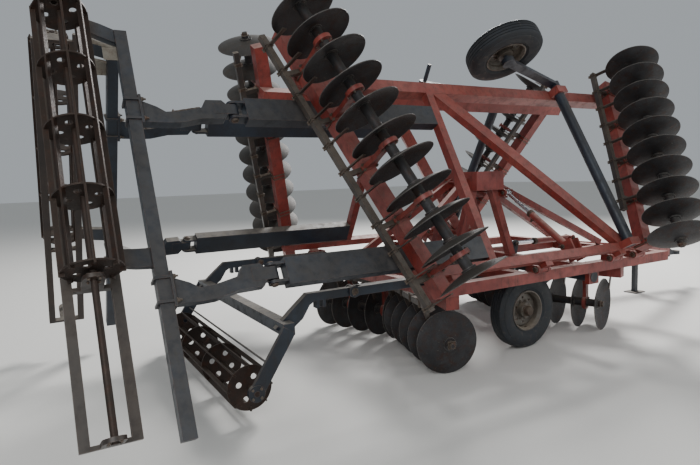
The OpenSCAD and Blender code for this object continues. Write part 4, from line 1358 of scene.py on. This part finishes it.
class HARROW_OT_set_stage(bpy.types.Operator):
    """Lay the floor, hang the lights and place the camera"""
    bl_idname = "harrow.set_stage"
    bl_label = "Set the stage"

    def execute(self, context):
        settings = context.scene.harrow_stage
        lay_floor(settings.floor_margin)
        hang_lamps(context.scene)
        world = bpy.data.worlds.new("soft sky")
        world.use_nodes = True
        sky = world.node_tree.nodes["Background"]
        sky.inputs["Color"].default_value = linear(SKY)
        sky.inputs["Strength"].default_value = SKY_STRENGTH
        context.scene.world = world
        place_camera(context.scene, settings.lens)
        return {"FINISHED"}


class HARROW_PT_sidebar(bpy.types.Panel):
    """The harrow's pieces, in the order they are made"""
    bl_idname = "HARROW_PT_sidebar"
    bl_label = "Disc harrow"
    bl_space_type = "VIEW_3D"
    bl_region_type = "UI"
    bl_category = "Harrow"

    def draw(self, context):
        column = self.layout.column()
        for operator in OPERATORS:
            column.operator(operator.bl_idname)
        for group in (getattr(context.scene, name) for name in GROUPS):
            box = self.layout.box()
            for name in group.__annotations__:
                box.prop(group, name)


GROUPS = {"harrow_paint": HARROW_PG_paint, "harrow_fittings": HARROW_PG_fittings,
          "harrow_tyres": HARROW_PG_tyres, "harrow_stage": HARROW_PG_stage}
OPERATORS = (HARROW_OT_paint_frame, HARROW_OT_finish_steel, HARROW_OT_fit_tyres,
             HARROW_OT_fit_wheel_nuts, HARROW_OT_bolt_hangers, HARROW_OT_tighten_gangs,
             HARROW_OT_clamp_scrapers, HARROW_OT_head_pins, HARROW_OT_fit_glands,
             HARROW_OT_bolt_rollers, HARROW_OT_hang_chains, HARROW_OT_point_bars,
             HARROW_OT_fit_mast_plates, HARROW_OT_lay_welds, HARROW_OT_bolt_hitch,
             HARROW_OT_set_stage)


def register():
    for cls in (*GROUPS.values(), *OPERATORS, HARROW_PT_sidebar):
        bpy.utils.register_class(cls)
    for name, cls in GROUPS.items():
        setattr(bpy.types.Scene, name, bpy.props.PointerProperty(type=cls))


def unregister():
    for name in GROUPS:
        delattr(bpy.types.Scene, name)
    for cls in reversed((*GROUPS.values(), *OPERATORS, HARROW_PT_sidebar)):
        bpy.utils.unregister_class(cls)


def main():
    register()
    bpy.ops.harrow.paint_frame()
    bpy.ops.harrow.finish_steel()
    bpy.ops.harrow.fit_tyres()
    bpy.ops.harrow.fit_wheel_nuts()
    bpy.ops.harrow.bolt_hangers()
    bpy.ops.harrow.tighten_gangs()
    bpy.ops.harrow.clamp_scrapers()
    bpy.ops.harrow.head_pins()
    bpy.ops.harrow.fit_glands()
    bpy.ops.harrow.bolt_rollers()
    bpy.ops.harrow.hang_chains()
    bpy.ops.harrow.point_bars()
    bpy.ops.harrow.fit_mast_plates()
    bpy.ops.harrow.lay_welds()
    bpy.ops.harrow.bolt_hitch()
    bpy.ops.harrow.set_stage()


if __name__ == "__main__":
    main()
